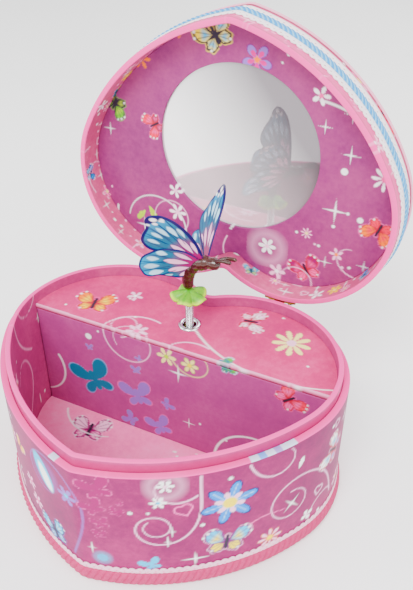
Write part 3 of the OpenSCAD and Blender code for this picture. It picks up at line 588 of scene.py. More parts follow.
# Sizes of the lid, and where the box's boards and the figure's spindle stand in the frame
lid = {"open": 91, "gap": 0.3, "depth": 26, "top": 2.5, "liner": 13, "window": 40.5, "windowY": -18}
wallTop, collarTop = corner("outer_wall", 1)[2], corner("inner_collar", 1)[2]
collarOut = corner("inner_collar", 1)[0] - corner("outer_wall", 1)[0]
collarIn = collarOut - boards["collar"]
linedOffset = corner("shelf", 1)[0] - corner("outer_wall", 1)[0]
shelfTop, shelfUnder = corner("shelf", 1)[2], corner("shelf", 0)[2]
floorTop = corner("compartment_floor", 1)[2]
hinge = next(joint for joint in frame["joints"] if joint["name"] == "lid_hinge")
hingeY, hingeZ = hinge["pos_m"][1] / mm, hinge["pos_m"][2] / mm
spindle = next(joint for joint in frame["joints"] if joint["name"] == "spindle_spin")
spindleX, spindleY = 0.0, spindle["pos_m"][1] / mm
wallCells = 740

wallPaper = printedPaper("wallPrint", "720e50", "88155a", "a4246a")
collarPaper = printedPaper("collarPrint", "9c2866", "ad3374", "c04482")
shelfPaper = printedPaper("shelfPrint", "b82068", "ca2c72", "da4484")
floorPaper = printedPaper("floorPrint", "f262a6", "ff74b4", "ff8cc2")
partitionPaper = printedPaper("partitionPrint", "983478", "a63a80", "b4488a")
linerPaper = printedPaper("linerPrint", "7a2462", "8e306e", "a03c78")
lidPaper = printedPaper("lidPrint", "b83a72", "c8487e", "da6492")


# A board standing on the outline: its grid, its sheet (walk along the outline against height) and offsets
def standing(count, columns):
    path = heartPath(count)
    points = carried(path, columns)
    _, offset, height = (np.broadcast_to(values, points.shape[:2]) for values in np.array(columns).T)
    walk = np.broadcast_to(path[2][:, None], points.shape[:2])
    return points, Sheet(walk, height, girth), offset.ravel()


def outerWall():
    points, sheet, _ = standing(wallCells, section(0, -boards["wall"], 0, wallTop, 0.66, 12))
    # vines and their curls
    sheet.vine(49.5, 64.5, -93, 104, 1.1, -0.13, 1.0, "blush")
    sheet.vine(48, 54, -142, 30, -3.7, -0.24, 0.9)
    sheet.vine(117, 16, 102, 101, 0.3, 0.082, 0.9)
    sheet.vine(117, 17, 108, 36, 9, -0.18, 0.7)
    sheet.vine(69, 64, 290, 34, 1.8, 0.25, 0.9)
    sheet.vine(-4.5, 13, 71, 100, -0.4, 0.073, 1.2, "violet", 0.6)
    sheet.vine(67, 22.5, 90, 24, -9.7, 0.46, 0.7, "pink")
    sheet.halo(36, 61, 8)
    sheet.halo(-17, 52, 8, "violet")
    # the large motifs, from the point to the right
    sheet.flower(61, 46, 12.5, 6, "blue", "navy", "yellow", 0.95, 1.0, 14, "blush")
    sheet.butterfly(60, 22, 22, -8, "plum", "sky", "yellow", "yellow")
    sheet.flower(80, 14, 6, 8, "blush", "orange", "yellow", 0.4, 0.8)
    for x, y, span, turn in ((10, 58, 15, 24), (8, 47, 11, 35), (10, 38, 8, 20), (16.5, 46, 6, -20),
                             (18.5, 51, 3, 20), (9, 31, 6, 5)):
        sheet.butterfly(x, y, span, turn, "magenta", halo="pink")
    sheet.flower(36, 61, 3.6, 6, "white", "white", "blush", 0.5, 0.9)
    sheet.flower(33, 52, 3.4, 6, "white", "white", "sky", 0.5, 0.9)
    sheet.smallHeart(43, 46, 6, "pink", 20)
    for x, y, size in ((22, 46, 0.9), (29, 46, 0.6), (61, 60, 0.9), (50, 36, 0.9), (112, 60, 0.8)):
        sheet.dot(x, y, size)
    sheet.halo(9, 16, 4, "sky")
    sheet.dot(9, 16, 2.4, "sky", 0.8)
    sheet.butterfly(29, 13, 10, 25, "sky", halo=None)
    sheet.sparkle(47, 15, 5)
    for x, y in ((38, 34), (36, 28), (5, 22), (90, 30)):
        sheet.sparkle(x, y, 2.6)
    sheet.sparkle(90, 30, 4.6, "white", 45)
    sheet.butterfly(-17, 16, 19, 22, "navy", "sky", "ice", "blue", "violet")
    sheet.oval(-18, 52, 9.5, 4.6, -62, "sky")
    sheet.oval(-17, 50, 7, 2.8, -62, "white")
    sheet.flower(-4, 49, 5, 6, "violet", "violet", "sky", 0.5, 0.95)
    sheet.flower(-34, 32, 4.5, 6, "blush", "pink", "rose", 0.5, 0.8)
    sheet.flower(-30, 23, 4.5, 6, "blush", "pink", "rose", 0.5, 0.8)
    sheet.butterfly(-40, 48, 10, -30, "orange", "yellow", "cream", "orange")
    sheet.leaf(92, 50, 6, 70)
    sheet.flower(100, 15, 3.4, 4, "white", "white", "blush", 0.5, 0.9, 20)
    sheet.flower(108, 9, 3.4, 4, "white", "white", "blush", 0.5, 0.9)
    sheet.smallHeart(106, 26, 4.5, "blush", -20)
    sheet.butterfly(115, 44, 20, 60, "crimson", "white", "sky", "rose")
    for x, y, clear in ((61, 40, 28), (30, 40, 34), (0, 40, 24), (-22, 40, 24), (95, 36, 28), (115, 40, 16)):
        sheet.keepClear(x, y, clear)
    sheet.scatter((-halfGirth, 16), (halfGirth, 60), 150, 11)
    # the rim of the board, where the paper's trimmed edge shows now and then
    edge = sheet.y > wallTop - 0.45
    sheet.fill(edge, "edge", 0.85)
    for start, end, ink in ((69, 90, "ice"), (73, 76, "blue"), (80, 83, "violet"), (-12, -8, "ice")):
        sheet.fill(edge & (sheet.x > start) & (sheet.x < end), ink, 0.75)
    mesh = surface("wallBoard", points, True, True, ink=sheet.ink)
    piece(mesh, "base", wallPaper, ["outer_wall"])


def innerCollar():
    columns = section(collarOut, collarIn, corner("inner_collar", 0)[2], collarTop, 1.6, 0.9)
    points, sheet, offset = standing(700, columns)
    sheet.vine(-112, 44, 30, 120, 1.0, 0.055, 0.8, "blush", 0.8)
    sheet.vine(-92, 12, 160, 60, -2.0, -0.05, 0.9, "blush", 0.8)
    sheet.vine(-88, 10, 60, 26, -3.0, 0.1, 0.7, "blush", 0.8)
    for x, y, clear in ((-105, 40, 22), (-95, 14, 10)):
        sheet.keepClear(x, y, clear)
    sheet.scatter((-halfGirth, 8), (halfGirth, 62), 90, 5, 7.0)
    # painted highlight: a lighter pink along the collar's top edge
    sheet.fill(sheet.y > collarTop - 0.45, "edge", 0.8)
    # painted shade: a darker pink over the collar's outer face below its top
    sheet.fill((offset > collarOut - 0.3) & (sheet.y < collarTop - 0.5), inkTone("a02c62"), 0.6)
    mesh = surface("collarBoard", points, True, True, ink=sheet.ink)
    piece(mesh, "base", collarPaper, ["inner_collar"])


# How far the lined outline reaches towards the lobes (1) or the point (-1) at each x
def reachAt(x, way):
    points, normals, _ = heartPath(4000)
    edge = points + normals * linedOffset
    edge = edge[edge[:, 1] * way >= -0.5]
    order = np.argsort(edge[:, 0])
    return np.interp(x, edge[order, 0], edge[order, 1])


# A flat board cut straight at one side: rows across it, each a closed loop, fine on top and coarse below
def cutBoard(x, near, far, low, high, step):
    fine = int(np.max(np.abs(far - near)) / step)
    s = np.concatenate([np.linspace(0, 1, fine), np.linspace(1, 0, 8)])
    z = np.where(np.arange(s.size) < fine, high, low)
    y = near[:, None] + (far - near)[:, None] * s[None, :]
    return np.dstack([np.broadcast_to(x[:, None], y.shape), y, np.broadcast_to(z, y.shape)])


def shelfPrint(sheet):  # one print runs across the shelf and on down the partition
    sheet.vine(-13, 13, 165, 110, 2.6, 0.035, 0.8, "blush")
    sheet.vine(-27, -4, 20, 46, 6.6, 0.12, 0.7, "blush", 0.8)
    sheet.vine(5, 15, -42, 92, 0.95, -0.002, 0.9, "white", 0.85)
    sheet.vine(16, 6, 165, 26, 2.2, 0.2, 0.9, "blush", 0.9)
    sheet.vine(-1, -6, -65, 34, 3.2, 0.2, 0.8, "cream", 0.7)
    sheet.vine(-66, -29, -60, 34, -3.2, 0.0, 1.4, "white", 0.7)
    sheet.vine(22, -62, 92, 62, -2.9, 0.012, 1.3, "white", 0.85)
    sheet.butterfly(-50, 13, 22, 14, "crimson", "orange", "yellow", "orange", "rose")
    sheet.butterfly(57, -9, 17, -50, "crimson", "red", "pink", "rose", "rose")
    sheet.butterfly(27, -1, 11, -60, "teal", "green", "teal", "green", "ice")
    sheet.butterfly(25, 33, 18, -78, "crimson", "blush", "white", "pink", "rose")
    sheet.flower(48, 26, 9, 9, "cream", "cream", "blush", 0.4, 0.8)
    sheet.flower(-20, 3, 5.5, 7, "blush", "blush", "rose", 0.5, 0.85)
    sheet.flower(-3, -7, 5, 6, "cream", "cream", "lime", 0.5, 0.8)
    sheet.flower(9, -8, 4.5, 6, "cream", "lime", "yellow", 0.5, 0.95)
    sheet.flower(-35, 27, 4, 5, "blush", "blush", "white", 0.5, 0.8)
    for x, y, span, turn, ink, halo in (
        (-45, -38, 26, 28, "teal", "sky"), (-20, -39, 20, 20, "violet", "pink"),
        (-8, -55, 16, 30, "violet", "pink"), (-25, -57, 10, 60, "violet", "sky"),
        (-4, -38, 8, -50, "violet", "pink"), (-20, -22, 6, 10, "violet", "grey"),
        (-18, -14, 4, 40, "violet", "grey"), (-46, -17, 4.5, 10, "violet", "grey"),
    ):
        sheet.butterfly(x, y, span, turn, ink, halo=halo)
    sheet.dot(-46, -10, 1.7)
    sheet.sparkle(3, -15, 5)
    for x, y in ((8, -45), (56, -52)):
        sheet.sparkle(x, y, 2.2)
    for x, y in ((-36, 24), (-26, 12), (38, 42), (60, 14), (14, -43), (-62, 6), (0, 36), (28, -48), (-40, -5),
                 (-64, -1)):
        sheet.dot(x, y, 0.55)


# Places across a board, closer together near its ends, where the outline turns in
def across(edge, count):
    x = edge * np.sin(np.linspace(-math.pi / 2, math.pi / 2, count))
    return np.clip(x, -edge + 0.01, edge - 0.01)


def shelfBoard():
    x = across(corner("shelf", 1)[0] - 0.05, 262)
    near, far = np.full(x.size, 0.0), np.maximum(reachAt(x, 1), 0.4)
    points = cutBoard(x, near, far, shelfUnder, shelfTop, 0.42)
    sheet = Sheet(points[..., 0], points[..., 1])
    shelfPrint(sheet)
    # painted highlight: a pale pink along the shelf's front edge on top
    sheet.fill((sheet.y < 0.7) & (np.ravel(points[..., 2]) > shelfTop - 0.1), "blush", 0.55)
    hole = (spindleX, spindleY, corner("eyelet", 1)[0] - 2.0)  # its edge is under the eyelet's bead
    mesh = surface("shelfBoard", points, False, True, caps=True, ink=sheet.ink, hole=hole)
    piece(mesh, "base", shelfPaper, ["shelf"])


def compartmentFloor():
    x = across(corner("compartment_floor", 1)[0] - 0.05, 240)
    near, far = np.minimum(reachAt(x, -1), -0.6), np.full(x.size, -0.1)
    points = cutBoard(x, near, far, corner("compartment_floor", 0)[2], floorTop, 0.5)
    sheet = Sheet(points[..., 0], points[..., 1])
    sheet.butterfly(-43, -12, 22, 14, "magenta", "blush", "blush", "pink", "blush")
    sheet.vine(-62, -4, -60, 34, 3.0, -0.03, 1.0, "white", 0.7)
    sheet.keepClear(-42, -20, 26)
    sheet.keepClear(-10, -20, 16)
    sheet.scatter((-66, -60), (66, -6), 50, 21, 8.0)
    mesh = surface("floorBoard", points, False, True, caps=True, ink=sheet.ink)
    piece(mesh, "base", floorPaper, ["compartment_floor"])


def partitionBoard():
    low, high = corner("partition", 0), corner("partition", 1)
    x = np.linspace(low[0] + 0.3, high[0] - 0.3, 290)
    z = np.linspace(low[2], high[2], 118)
    loop = [(0.0, height) for height in z] + [(high[1], height) for height in z[::-17]]
    y, z = np.array(loop).T
    points = np.stack(np.broadcast_arrays(x[:, None], y[None, :], z[None, :]), -1)
    sheet = Sheet(points[..., 0], points[..., 2] - shelfTop)
    shelfPrint(sheet)
    mesh = surface("partitionBoard", points, False, True, caps=True, ink=sheet.ink)
    piece(mesh, "base", partitionPaper, ["partition"])


outerWall()
innerCollar()
shelfBoard()
compartmentFloor()
partitionBoard()
print("box boards made")


trims = {"braidLow": 0.3, "braidTop": 8, "strands": 150, "laceTop": 11, "scallop": 3.2, "lidLace": 5.2,
         "laceWidth": 15, "ribbonHalf": 2.5, "ribbonHigh": 0.75, "twill": 2.6, "piping": 1.0}
braidCloth = woven("braidCord", "a42456", "cc4078", 0.5, 0.04)
laceCloth = woven("footLace", "f29cc0", "fdd3e4", 0.6, 0.05)
whiteCloth = woven("lidLace", "f3dfe9", "ffffff", 0.6, 0.05)
ribbonCloth = woven("lidRibbon", "0c70b0", "38a4dc", 0.7, 0.05)
pipingCloth = woven("lidPiping", "ee86ae", "f8b4cc", 0.5, 0.05)


# A closed band on the outline, front face then back, each given as offsets from it and heights
def bandOn(path, *faces):
    grids = []
    for offset, level in faces:
        offset, level = np.broadcast_arrays(*np.atleast_2d(offset, level), np.zeros((len(path[0]), 1)))[:2]
        edge = path[0][:, None, :] + path[1][:, None, :] * offset[..., None]
        grids.append(np.dstack([edge, level]))
    points = np.concatenate(grids, 1)
    return points, Sheet(np.broadcast_to(path[2][:, None], points.shape[:2]), points[..., 2], girth)


# Twisted cord flat against the wall: a rounded band whose strands rise and fall along a slant
def footBraid():
    path = heartPath(1100)
    low, high = trims["braidLow"], trims["braidTop"]
    walk = path[2]
    height = np.linspace(0, 1, 26)
    rounding = np.sqrt(np.clip(1 - (2 * height - 1) ** 2 * 0.98, 0, 1))
    strand = np.abs(np.sin(math.pi * (walk[:, None] * trims["strands"] / girth - height[None, :] * 1.3)))
    offset = 0.15 + rounding[None, :] * (1.15 + 0.75 * strand**0.6)
    front = (offset, low + (high - low) * height)
    points, sheet = bandOn(path, front, (0.1, [high, (low + high) / 2, low]))
    # painted shade: a darker pink laid in the grooves between the strands
    hollow = np.concatenate([(1 - strand) ** 3, np.zeros((walk.size, 3))], 1).ravel()
    sheet.lay(np.arange(hollow.size), hollow * 0.45 - 0.225, inkTone("9c2454"), strength=0.6)
    mesh = surface("footBraid", points, True, True, ink=sheet.ink)
    piece(mesh, "base", braidCloth, ["foot_braid"])


# Thin lace band: its edges run in scallops of the given depths, its cords cross in fine ripples, and each
# row of dots (height, ink, radius, whether between the scallops) is printed along it
def laceBand(name, low, high, depths, thick, body, cloth, node, dots):
    path = heartPath(1300)
    walk = path[2]
    rows = max(8, int((high - low) / 0.42))
    share = np.linspace(0, 1, rows)
    wave = np.abs(np.sin(math.pi * walk * round(girth / trims["scallop"]) / girth)) ** 0.7
    bottom, top = low + (1 - wave) * depths[0], high - (1 - wave) * depths[1]
    level = bottom[:, None] + (top - bottom)[:, None] * share[None, :]
    cord = 0.12 * np.sin(level * 4.2) * np.sin(walk[:, None] * 3.1)
    points, sheet = bandOn(path, (0.1 + thick + cord, level), (0.1, level[:, [-1, 0]]))
    period = girth / round(girth / trims["scallop"])
    beside = np.abs((sheet.x + period / 2) % period - period / 2)
    for place, ink, size, between in dots:
        gap = np.hypot(period / 2 - beside if between else beside, sheet.y - place)
        sheet.lay(np.arange(gap.size), size - gap, ink, strength=0.9)
    if body == "lid":
        points = opened(points)
    mesh = surface(name, points, True, True, ink=sheet.ink)
    return piece(mesh, body, cloth, [node])


# The lid is worked out shut and turned about its hinge to where the frame holds it open
def opened(points):
    angle = math.radians(lid["open"])
    dy, dz = points[..., 1] - hingeY, points[..., 2] - hingeZ
    y = hingeY + dy * math.cos(angle) + dz * math.sin(angle)
    z = hingeZ - dy * math.sin(angle) + dz * math.cos(angle)
    return np.stack([points[..., 0], y, z], -1)


footBraid()
laceLow = wallTop + trims["lidLace"]
laceHigh = laceLow + trims["laceWidth"]
laceBand("footLace", trims["braidTop"] + 0.05, trims["laceTop"], (0, 1.1), 0.45, "base", laceCloth,
         "foot_lace", [(9.1, "rose", 0.35, True)])
lidLace = laceBand(
    "lidLace", laceLow, laceHigh, (1.2, 1.2), 0.5, "lid", whiteCloth, "lid_lace",
    [(laceLow + 2.0, "crimson", 0.36, True), (laceHigh - 2.0, "crimson", 0.36, True),
     (laceLow + 3.6, "blush", 0.4, False), (laceHigh - 3.6, "blush", 0.4, False)],
)
girth * mm


# Ribbon on the lace: a low arch across, with twill lines that rise and fall along a slant
def lidRibbon():
    path = heartPath(1500)
    share = np.linspace(-1, 1, 15)
    level = (laceLow + laceHigh) / 2 + share * trims["ribbonHalf"]
    twill = np.sin(path[2][:, None] * trims["twill"] + share[None, :] * 5.0)
    offset = 0.75 + trims["ribbonHigh"] * np.sqrt(1 - 0.95 * share[None, :] ** 2) + 0.14 * twill
    points, sheet = bandOn(path, (offset, level), (0.72, level[[-1, 0]]))
    streak = np.concatenate([twill - 0.45, np.full((len(twill), 2), -1)], 1)
    sheet.lay(np.arange(streak.size), streak.ravel() * 0.4, "blue", strength=0.45)
    sheet.lay(np.arange(streak.size), -streak.ravel() * 0.4 - 0.45, "ice", strength=0.7)
    mesh = surface("lidRibbon", opened(points), True, True, ink=sheet.ink)
    piece(mesh, "lid", ribbonCloth, ["lid_ribbon"])


def lidPiping():  # an oval cord let into the lid's edge
    angle = np.linspace(0, math.tau, 12, endpoint=False)
    middle = wallTop + lid["depth"] - 1.5
    columns = [(1, 0.6 + 0.5 * math.cos(a), middle + trims["piping"] * math.sin(a)) for a in angle]
    points, sheet, _ = standing(700, columns)
    mesh = surface("lidPiping", opened(points), True, True, ink=sheet.ink)
    piece(mesh, "lid", pipingCloth, ["lid_piping"])


lidRibbon()
lidPiping()
print("trims made")


rimZ = wallTop + lid["gap"]
topZ = wallTop + lid["depth"] - lid["top"]
linerZ = wallTop + lid["liner"]
lidInner = -boards["lidWall"] - 0.1


def lidWall():
    points, sheet, offset = standing(700, section(0, -boards["lidWall"], rimZ, topZ, 1.2, 0.7))
    sheet.scatter((-halfGirth, rimZ + 3), (halfGirth, linerZ), 110, 8, 5.5)
    outside = offset > -0.2
    sheet.fill(sheet.y < rimZ + 0.5, "edge", 0.8)
    sheet.fill(outside & (sheet.y > rimZ + 1.6) & (sheet.y < rimZ + 6), "rose", 0.5)
    sheet.fill(outside & (sheet.y > laceHigh - 0.5) & (sheet.y < laceHigh + 2.2), "white", 0.85)
    mesh = surface("lidWall", opened(points), True, True, ink=sheet.ink)
    piece(mesh, "lid", lidPaper, ["lid_wall"])


# Board closed at its middle below and above: shares of the outline out to the edge, round it and back
def lidTop():
    path = heartPath(600)
    high = wallTop + lid["depth"]
    share = np.linspace(0, 1, 120)
    columns = [(s, 0, topZ + 0.05) for s in np.linspace(0, 0.98, 8)]
    columns += [(1, 0, topZ + 0.05), (1, 0, high - 0.6), (1, -0.2, high - 0.2), (1, -0.6, high)]
    columns += [(s, -0.6, high) for s in share[::-1][1:]]
    points = carried(path, columns, (0.0, -10.0))
    sheet = Sheet(points[..., 0], points[..., 1])
    sheet.butterfly(0, -12, 44, 0, "navy", "teal", "pink", "sky")
    for side in (-1, 1):
        sheet.vine(side * 8, -44, 90 - side * 62, 120, side * 1.4, side * 0.03, 1.2, "white")
        sheet.vine(side * 30, 22, 90 + side * 40, 70, side * -3.0, side * -0.06, 1.0, "blush")
    for x, y, clear in ((0, -12, 24), (0, -40, 12)):
        sheet.keepClear(x, y, clear)
    sheet.scatter((-76, -70), (76, 46), 130, 33, 10.0)
    mesh = surface("lidTop", opened(points), True, False, poles=(0, -1), ink=sheet.ink)
    piece(mesh, "lid", lidPaper, ["lid_top"])


# Board between the round window and the wall: shares of the way from one outline to the other
def lidLiner():
    path = heartPath(700)
    centre = np.array([0.0, lid["windowY"]])
    edge = path[0] + path[1] * lidInner
    ray = edge - centre
    ring = centre + ray / np.linalg.norm(ray, axis=1, keepdims=True) * lid["window"]
    high = linerZ + boards["liner"]
    columns = [(s, lidInner, linerZ) for s in np.linspace(0.004, 1, 92)]
    columns += [(s, lidInner, high) for s in np.linspace(1, 0.004, 6)]
    columns += [(0, lidInner, linerZ + 0.4)]
    points = carried(path, columns, ring)
    sheet = Sheet(points[..., 0], points[..., 1])
    sheet.butterfly(-12, -69, 21, 145, "black", "yellow", "sky", "yellow", "yellow")
    sheet.flower(8, -61, 7.5, 5, "violet", "plum", "orange", 0.5, 0.95, 18)
    sheet.flower(8, -61, 5, 5, "fuchsia", "violet", "orange", 0.5, 0.8, 18)
    sheet.butterfly(-66, -30, 16, 30, "black", "green", "lime", "black", "green")
    sheet.leaf(-49, 22, 9, 60, "lime")
    sheet.leaf(-51, 25, 8, 130, "lime")
    sheet.butterfly(-44, -23, 14, 60, "crimson", "red", "rose", "black", "pink")
    sheet.butterfly(71, 7, 17, 20, "crimson", "orange", "red", "red", "pink")
    sheet.butterfly(39, 37, 18, 150, "crimson", "magenta", "rose", "rose", "pink")
    sheet.vine(-30, -66, -62, 58, -1.9, 0.0, 1.2, "orange", 0.8)
    sheet.flower(-50, -54, 5, 6, "orange", "orange", "yellow", 0.5, 0.7)
    sheet.vine(38, -48, 5, 150, 1.35, -0.018, 1.1, "white", 0.85)
    sheet.vine(-68, 26, 100, 120, -2.4, -0.01, 1.1, "white", 0.8)
    sheet.vine(-42, 30, 60, 60, -7.0, 0.03, 0.8, "blush", 0.8)
    sheet.vine(-2, 24, -60, 44, 1.2, 0.0, 1.1, "white", 0.8)
    sheet.vine(26, 40, 120, 60, -6.0, -0.02, 0.9, "blush", 0.8)
    sheet.halo(18, 30, 10)
    sheet.flower(18, 29, 4.6, 6, "white", "white", "blush", 0.5, 0.95)
    sheet.flower(24, 42, 4.5, 5, "blush", "blush", "white", 0.5, 0.8)
    sheet.flower(-32, 22, 5, 6, "white", "blush", "blush", 0.5, 0.75)
    sheet.flower(-33, 10, 4, 5, "white", "blush", "blush", 0.5, 0.75)
    sheet.flower(70, -18, 6, 8, "white", "blush", "rose", 0.5, 0.75)
    sheet.flower(38, -50, 4.4, 5, "white", "blush", "rose", 0.5, 0.75)
    for x, y, size in ((50, 2, 5.5), (54, -26, 3.5), (-52, 34, 4.5), (48, 30, 2.4)):
        sheet.sparkle(x, y, size)
    for x, y, size in ((52, -18, 1.6), (62, 4, 1.4), (50, 10, 0.8), (44, 22, 0.7), (56, 2, 0.7),
                       (60, 30, 0.7)):
        sheet.dot(x, y, size)
    for x, y, clear in ((-12, -68, 14), (8, -61, 10), (-66, -30, 12), (-51, 22, 18), (68, 8, 12),
                        (39, 37, 12), (-54, -52, 18), (20, 34, 14), (60, -20, 22), (52, 6, 14), (-60, 0, 16),
                        (-52, -20, 14), (-30, -62, 12), (-34, 20, 12), (-20, 34, 12), (38, -52, 12),
                        (0, lid["windowY"], lid["window"] + 1)):
        sheet.keepClear(x, y, clear)
    sheet.scatter((-76, -72), (76, 46), 60, 3, 5.0)
    mesh = surface("lidLiner", opened(points), True, True, ink=sheet.ink, flip=True)
    piece(mesh, "lid", linerPaper, ["lid_liner"])


lidWall()
lidTop()
lidLiner()
print("lid made")


# The turning figure: how far its body leans and swings, how far its wings lift, and its stem's spring
figure = {"lean": 34, "swing": 7, "wingLift": 52, "coil": 1.6, "wire": 0.36, "turns": 26}
tail = np.array([spindleX, spindleY, corner("butterfly_body", 0)[2] + 0.2])
chrome = metal("chrome", "b8bcc2", "f4f6f8", 0.05, (300.0, 300.0, 300.0), 0.008)
greenPlastic = moulded("greenPlastic", "4a9408", "78bb1c", 0.34, 0.03, True, 0.2)
brownPlastic = moulded("brownPlastic", "2e0d07", "4a1c12", 0.22, 0.25)
wingFilm = moulded("wingFilm", "b02a86", "c84a9c", 0.3, 0.03, True, 0.2)


def unit(v):
    return np.array(v, float) / np.linalg.norm(v)


lean, swing = math.radians(figure["lean"]), math.radians(figure["swing"])
bodyDir = np.array([math.sin(lean) * math.cos(swing), -math.sin(lean) * math.sin(swing), math.cos(lean)])
sideDir = np.array([-0.3, -0.954, 0.0])
sideDir = unit(sideDir - bodyDir * (sideDir @ bodyDir))
backDir = np.cross(sideDir, bodyDir)


# Round tube: circles of a given radius carried along a path, with the frame turned as little as possible
def tube(path, radius, around):
    along = np.gradient(path, axis=0)
    along /= np.linalg.norm(along, axis=1, keepdims=True)
    side = np.cross(along, [0.12, 0.97, 0.2])
    side /= np.linalg.norm(side, axis=1, keepdims=True)
    up = np.cross(side, along)
    angle = np.linspace(0, math.tau, around, endpoint=False)
    ring = side[:, None, :] * np.cos(angle)[None, :, None] + up[:, None, :] * np.sin(angle)[None, :, None]
    return path[:, None, :] + ring * np.broadcast_to(radius, len(path))[:, None, None]


def closedTube(name, path, radius, around):  # the same, with both ends drawn to the path's last points
    points = tube(path, radius, around)
    points[0], points[-1] = path[0], path[-1]
    return surface(name, points.transpose(1, 0, 2)[::-1], True, False, poles=(0, -1))


# Stem spring: a tube along a helix
def figureSpring():
    low, high = corner("figure_spring", 0)[2], corner("figure_spring", 1)[2]
    angle = np.linspace(0, math.tau * figure["turns"], figure["turns"] * 20)
    height = low + figure["wire"] + (high - low - 2 * figure["wire"]) * angle / angle[-1]
    x, y = spindleX + figure["coil"] * np.cos(angle), spindleY + figure["coil"] * np.sin(angle)
    path = np.stack([x, y, height], 1)
    mesh = surface("figureSpring", tube(path, figure["wire"], 8), False, True, caps=True)
    spring = piece(mesh, None, chrome, ["figure_spring"])
    fold = next(joint for joint in frame["joints"] if joint["name"] == "figure_fold")
    start = (0, spindleY * mm, fold["pos_m"][2])
    spindleY * mm
    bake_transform(spring)


eyeletForm = {"bead": 2.5, "beadHigh": 1.0, "tube": 0.6}  # the bead's width and height, the tube's thickness


# Rounded ring turned round the spindle: a bead on the shelf and a tube down through it
def eyelet():
    low, outer = corner("eyelet", 0)[2], corner("eyelet", 1)[0]
    inner, half = outer - eyeletForm["bead"], eyeletForm["bead"] / 2
    angle = np.linspace(0, math.pi, 9)
    level, rise = shelfTop + 0.1, eyeletForm["beadHigh"]
    bead = [(inner + half + half * math.cos(a), level + rise * math.sin(a)) for a in angle]
    bore = [(inner, low), (inner + eyeletForm["tube"], low), (inner + eyeletForm["tube"], shelfTop + 0.05)]
    r, z = np.array([(outer, shelfTop + 0.05)] + bead + bore).T
    turn = np.linspace(0, math.tau, 64, endpoint=False)[:, None]
    points = np.stack(np.broadcast_arrays(
        spindleX + r[None, :] * np.cos(turn), spindleY + r[None, :] * np.sin(turn), z[None, :]), -1)
    piece(surface("eyelet", points, True, True), "base", chrome, ["eyelet"])


bloom = {"reach": 8.9, "droop": 2.4, "wave": 1.1, "thick": 1.5}


# Flower: five soft lobes, top and underside joined at a round edge, the rim drooping and waved
def flower():
    low = corner("flower", 0)[2]
    angle = np.linspace(0, math.tau, 120, endpoint=False)[:, None]
    share = np.concatenate([np.linspace(0, 1, 26), np.linspace(1, 0, 18)[1:]])
    top = np.arange(share.size) < 26
    reach = bloom["reach"] * (0.66 + 0.34 * np.abs(np.cos(2.5 * angle + 0.5)) ** 0.55)
    drop = -bloom["droop"] * share**2.4 + bloom["wave"] * share**2 * np.cos(5 * angle + 1.0)
    thick = bloom["thick"] * np.sqrt(np.clip(1 - share**4, 0, 1))
    collar = 1.2 * np.clip(1 - share * 3.2, 0, 1) * top
    z = low + 1.6 + drop + np.where(top, thick * 0.5, -thick * 0.5) + collar
    x = spindleX + reach * share * np.cos(angle)
    y = spindleY + reach * share * np.sin(angle)
    points = np.stack([x, y, z], -1)
    sheet = Sheet(x, y)
    rim = np.broadcast_to(share, x.shape).ravel()
    every = np.arange(rim.size)
    sheet.lay(every, (rim - 0.9) * 8, inkTone("d8ee8e"), soft=1.2, strength=0.9)
    vein = np.abs(np.sin(2.5 * (angle + 0.2) + 0 * share)).ravel()
    sheet.lay(every, (0.12 - vein) * (rim > 0.3), inkTone("4e9020"), soft=0.3, strength=0.5)
    mesh = surface("flower", points, True, False, poles=(0, -1), ink=sheet.ink, flip=True)
    piece(mesh, "figure", greenPlastic, ["flower"])


def bezier(spots, share):
    a, b, c, d = (np.array(s, float) for s in spots)
    t = share[:, None]
    return a * (1 - t) ** 3 + 3 * b * t * (1 - t) ** 2 + 3 * c * t**2 * (1 - t) + d * t**3


level = unit([bodyDir[0], bodyDir[1], 0])


def onBody(out, up, side=0.0):  # a spot out along the lean, up, and to one side of the tail
    return tail + level * out + np.array([0, 0, up]) + sideDir * side


# Where the body bends (out, up), and its radii from tail to head at shares of its length
torso = {"bends": [(0, 0), (-2.5, 11), (4, 18), (16.5, 18)],
         "shares": [0, 0.05, 0.25, 0.45, 0.55, 0.68, 0.78, 0.84, 0.91, 0.97, 1],
         "radii": [1.3, 2.3, 2.8, 3.1, 2.7, 3.3, 3.0, 2.3, 2.7, 2.1, 0.05], "girth": 1.08, "rings": 0.03}


# Body: a bent tube with the radii of tail, waist, chest, neck and head, and faint rings on its tail half
def butterflyBody():
    share = np.linspace(0, 1, 90)
    path = bezier([onBody(out, up) for out, up in torso["bends"]], share)
    radius = np.interp(share, torso["shares"], torso["radii"]) * torso["girth"]
    radius = radius + torso["rings"] * np.sin(share * 60) * (share < 0.5)
    mesh = closedTube("butterflyBody", path, radius, 28)
    piece(mesh, "figure", brownPlastic, ["butterfly_body"])


# Where a feeler bends (out, up, aside), its radii at shares of its length, and how much spread it keeps
feelers = {"bends": [(15, 19.6, 1.0), (17, 21.6, 1.3), (19.5, 22.2, 1.7), (23.5, 22.2, 2.0)],
           "shares": [0, 0.1, 0.8, 0.93, 1], "radii": [0.9, 0.85, 0.95, 0.9, 0.05], "kept": 0.6}


# Two feelers: bent tubes from the head, a little thicker towards their ends
def antennae():
    share = np.linspace(0, 1, 26)
    radius = np.interp(share, feelers["shares"], feelers["radii"])
    for side, name, replaced in ((-1, "leftFeeler", ["antennae"]), (1, "rightFeeler", [])):
        path = bezier([onBody(out, up, side * aside) for out, up, aside in feelers["bends"]], share)
        made = piece(closedTube(name, path, radius, 12), "figure", brownPlastic, replaced)
        spindleY * mm
        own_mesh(made)


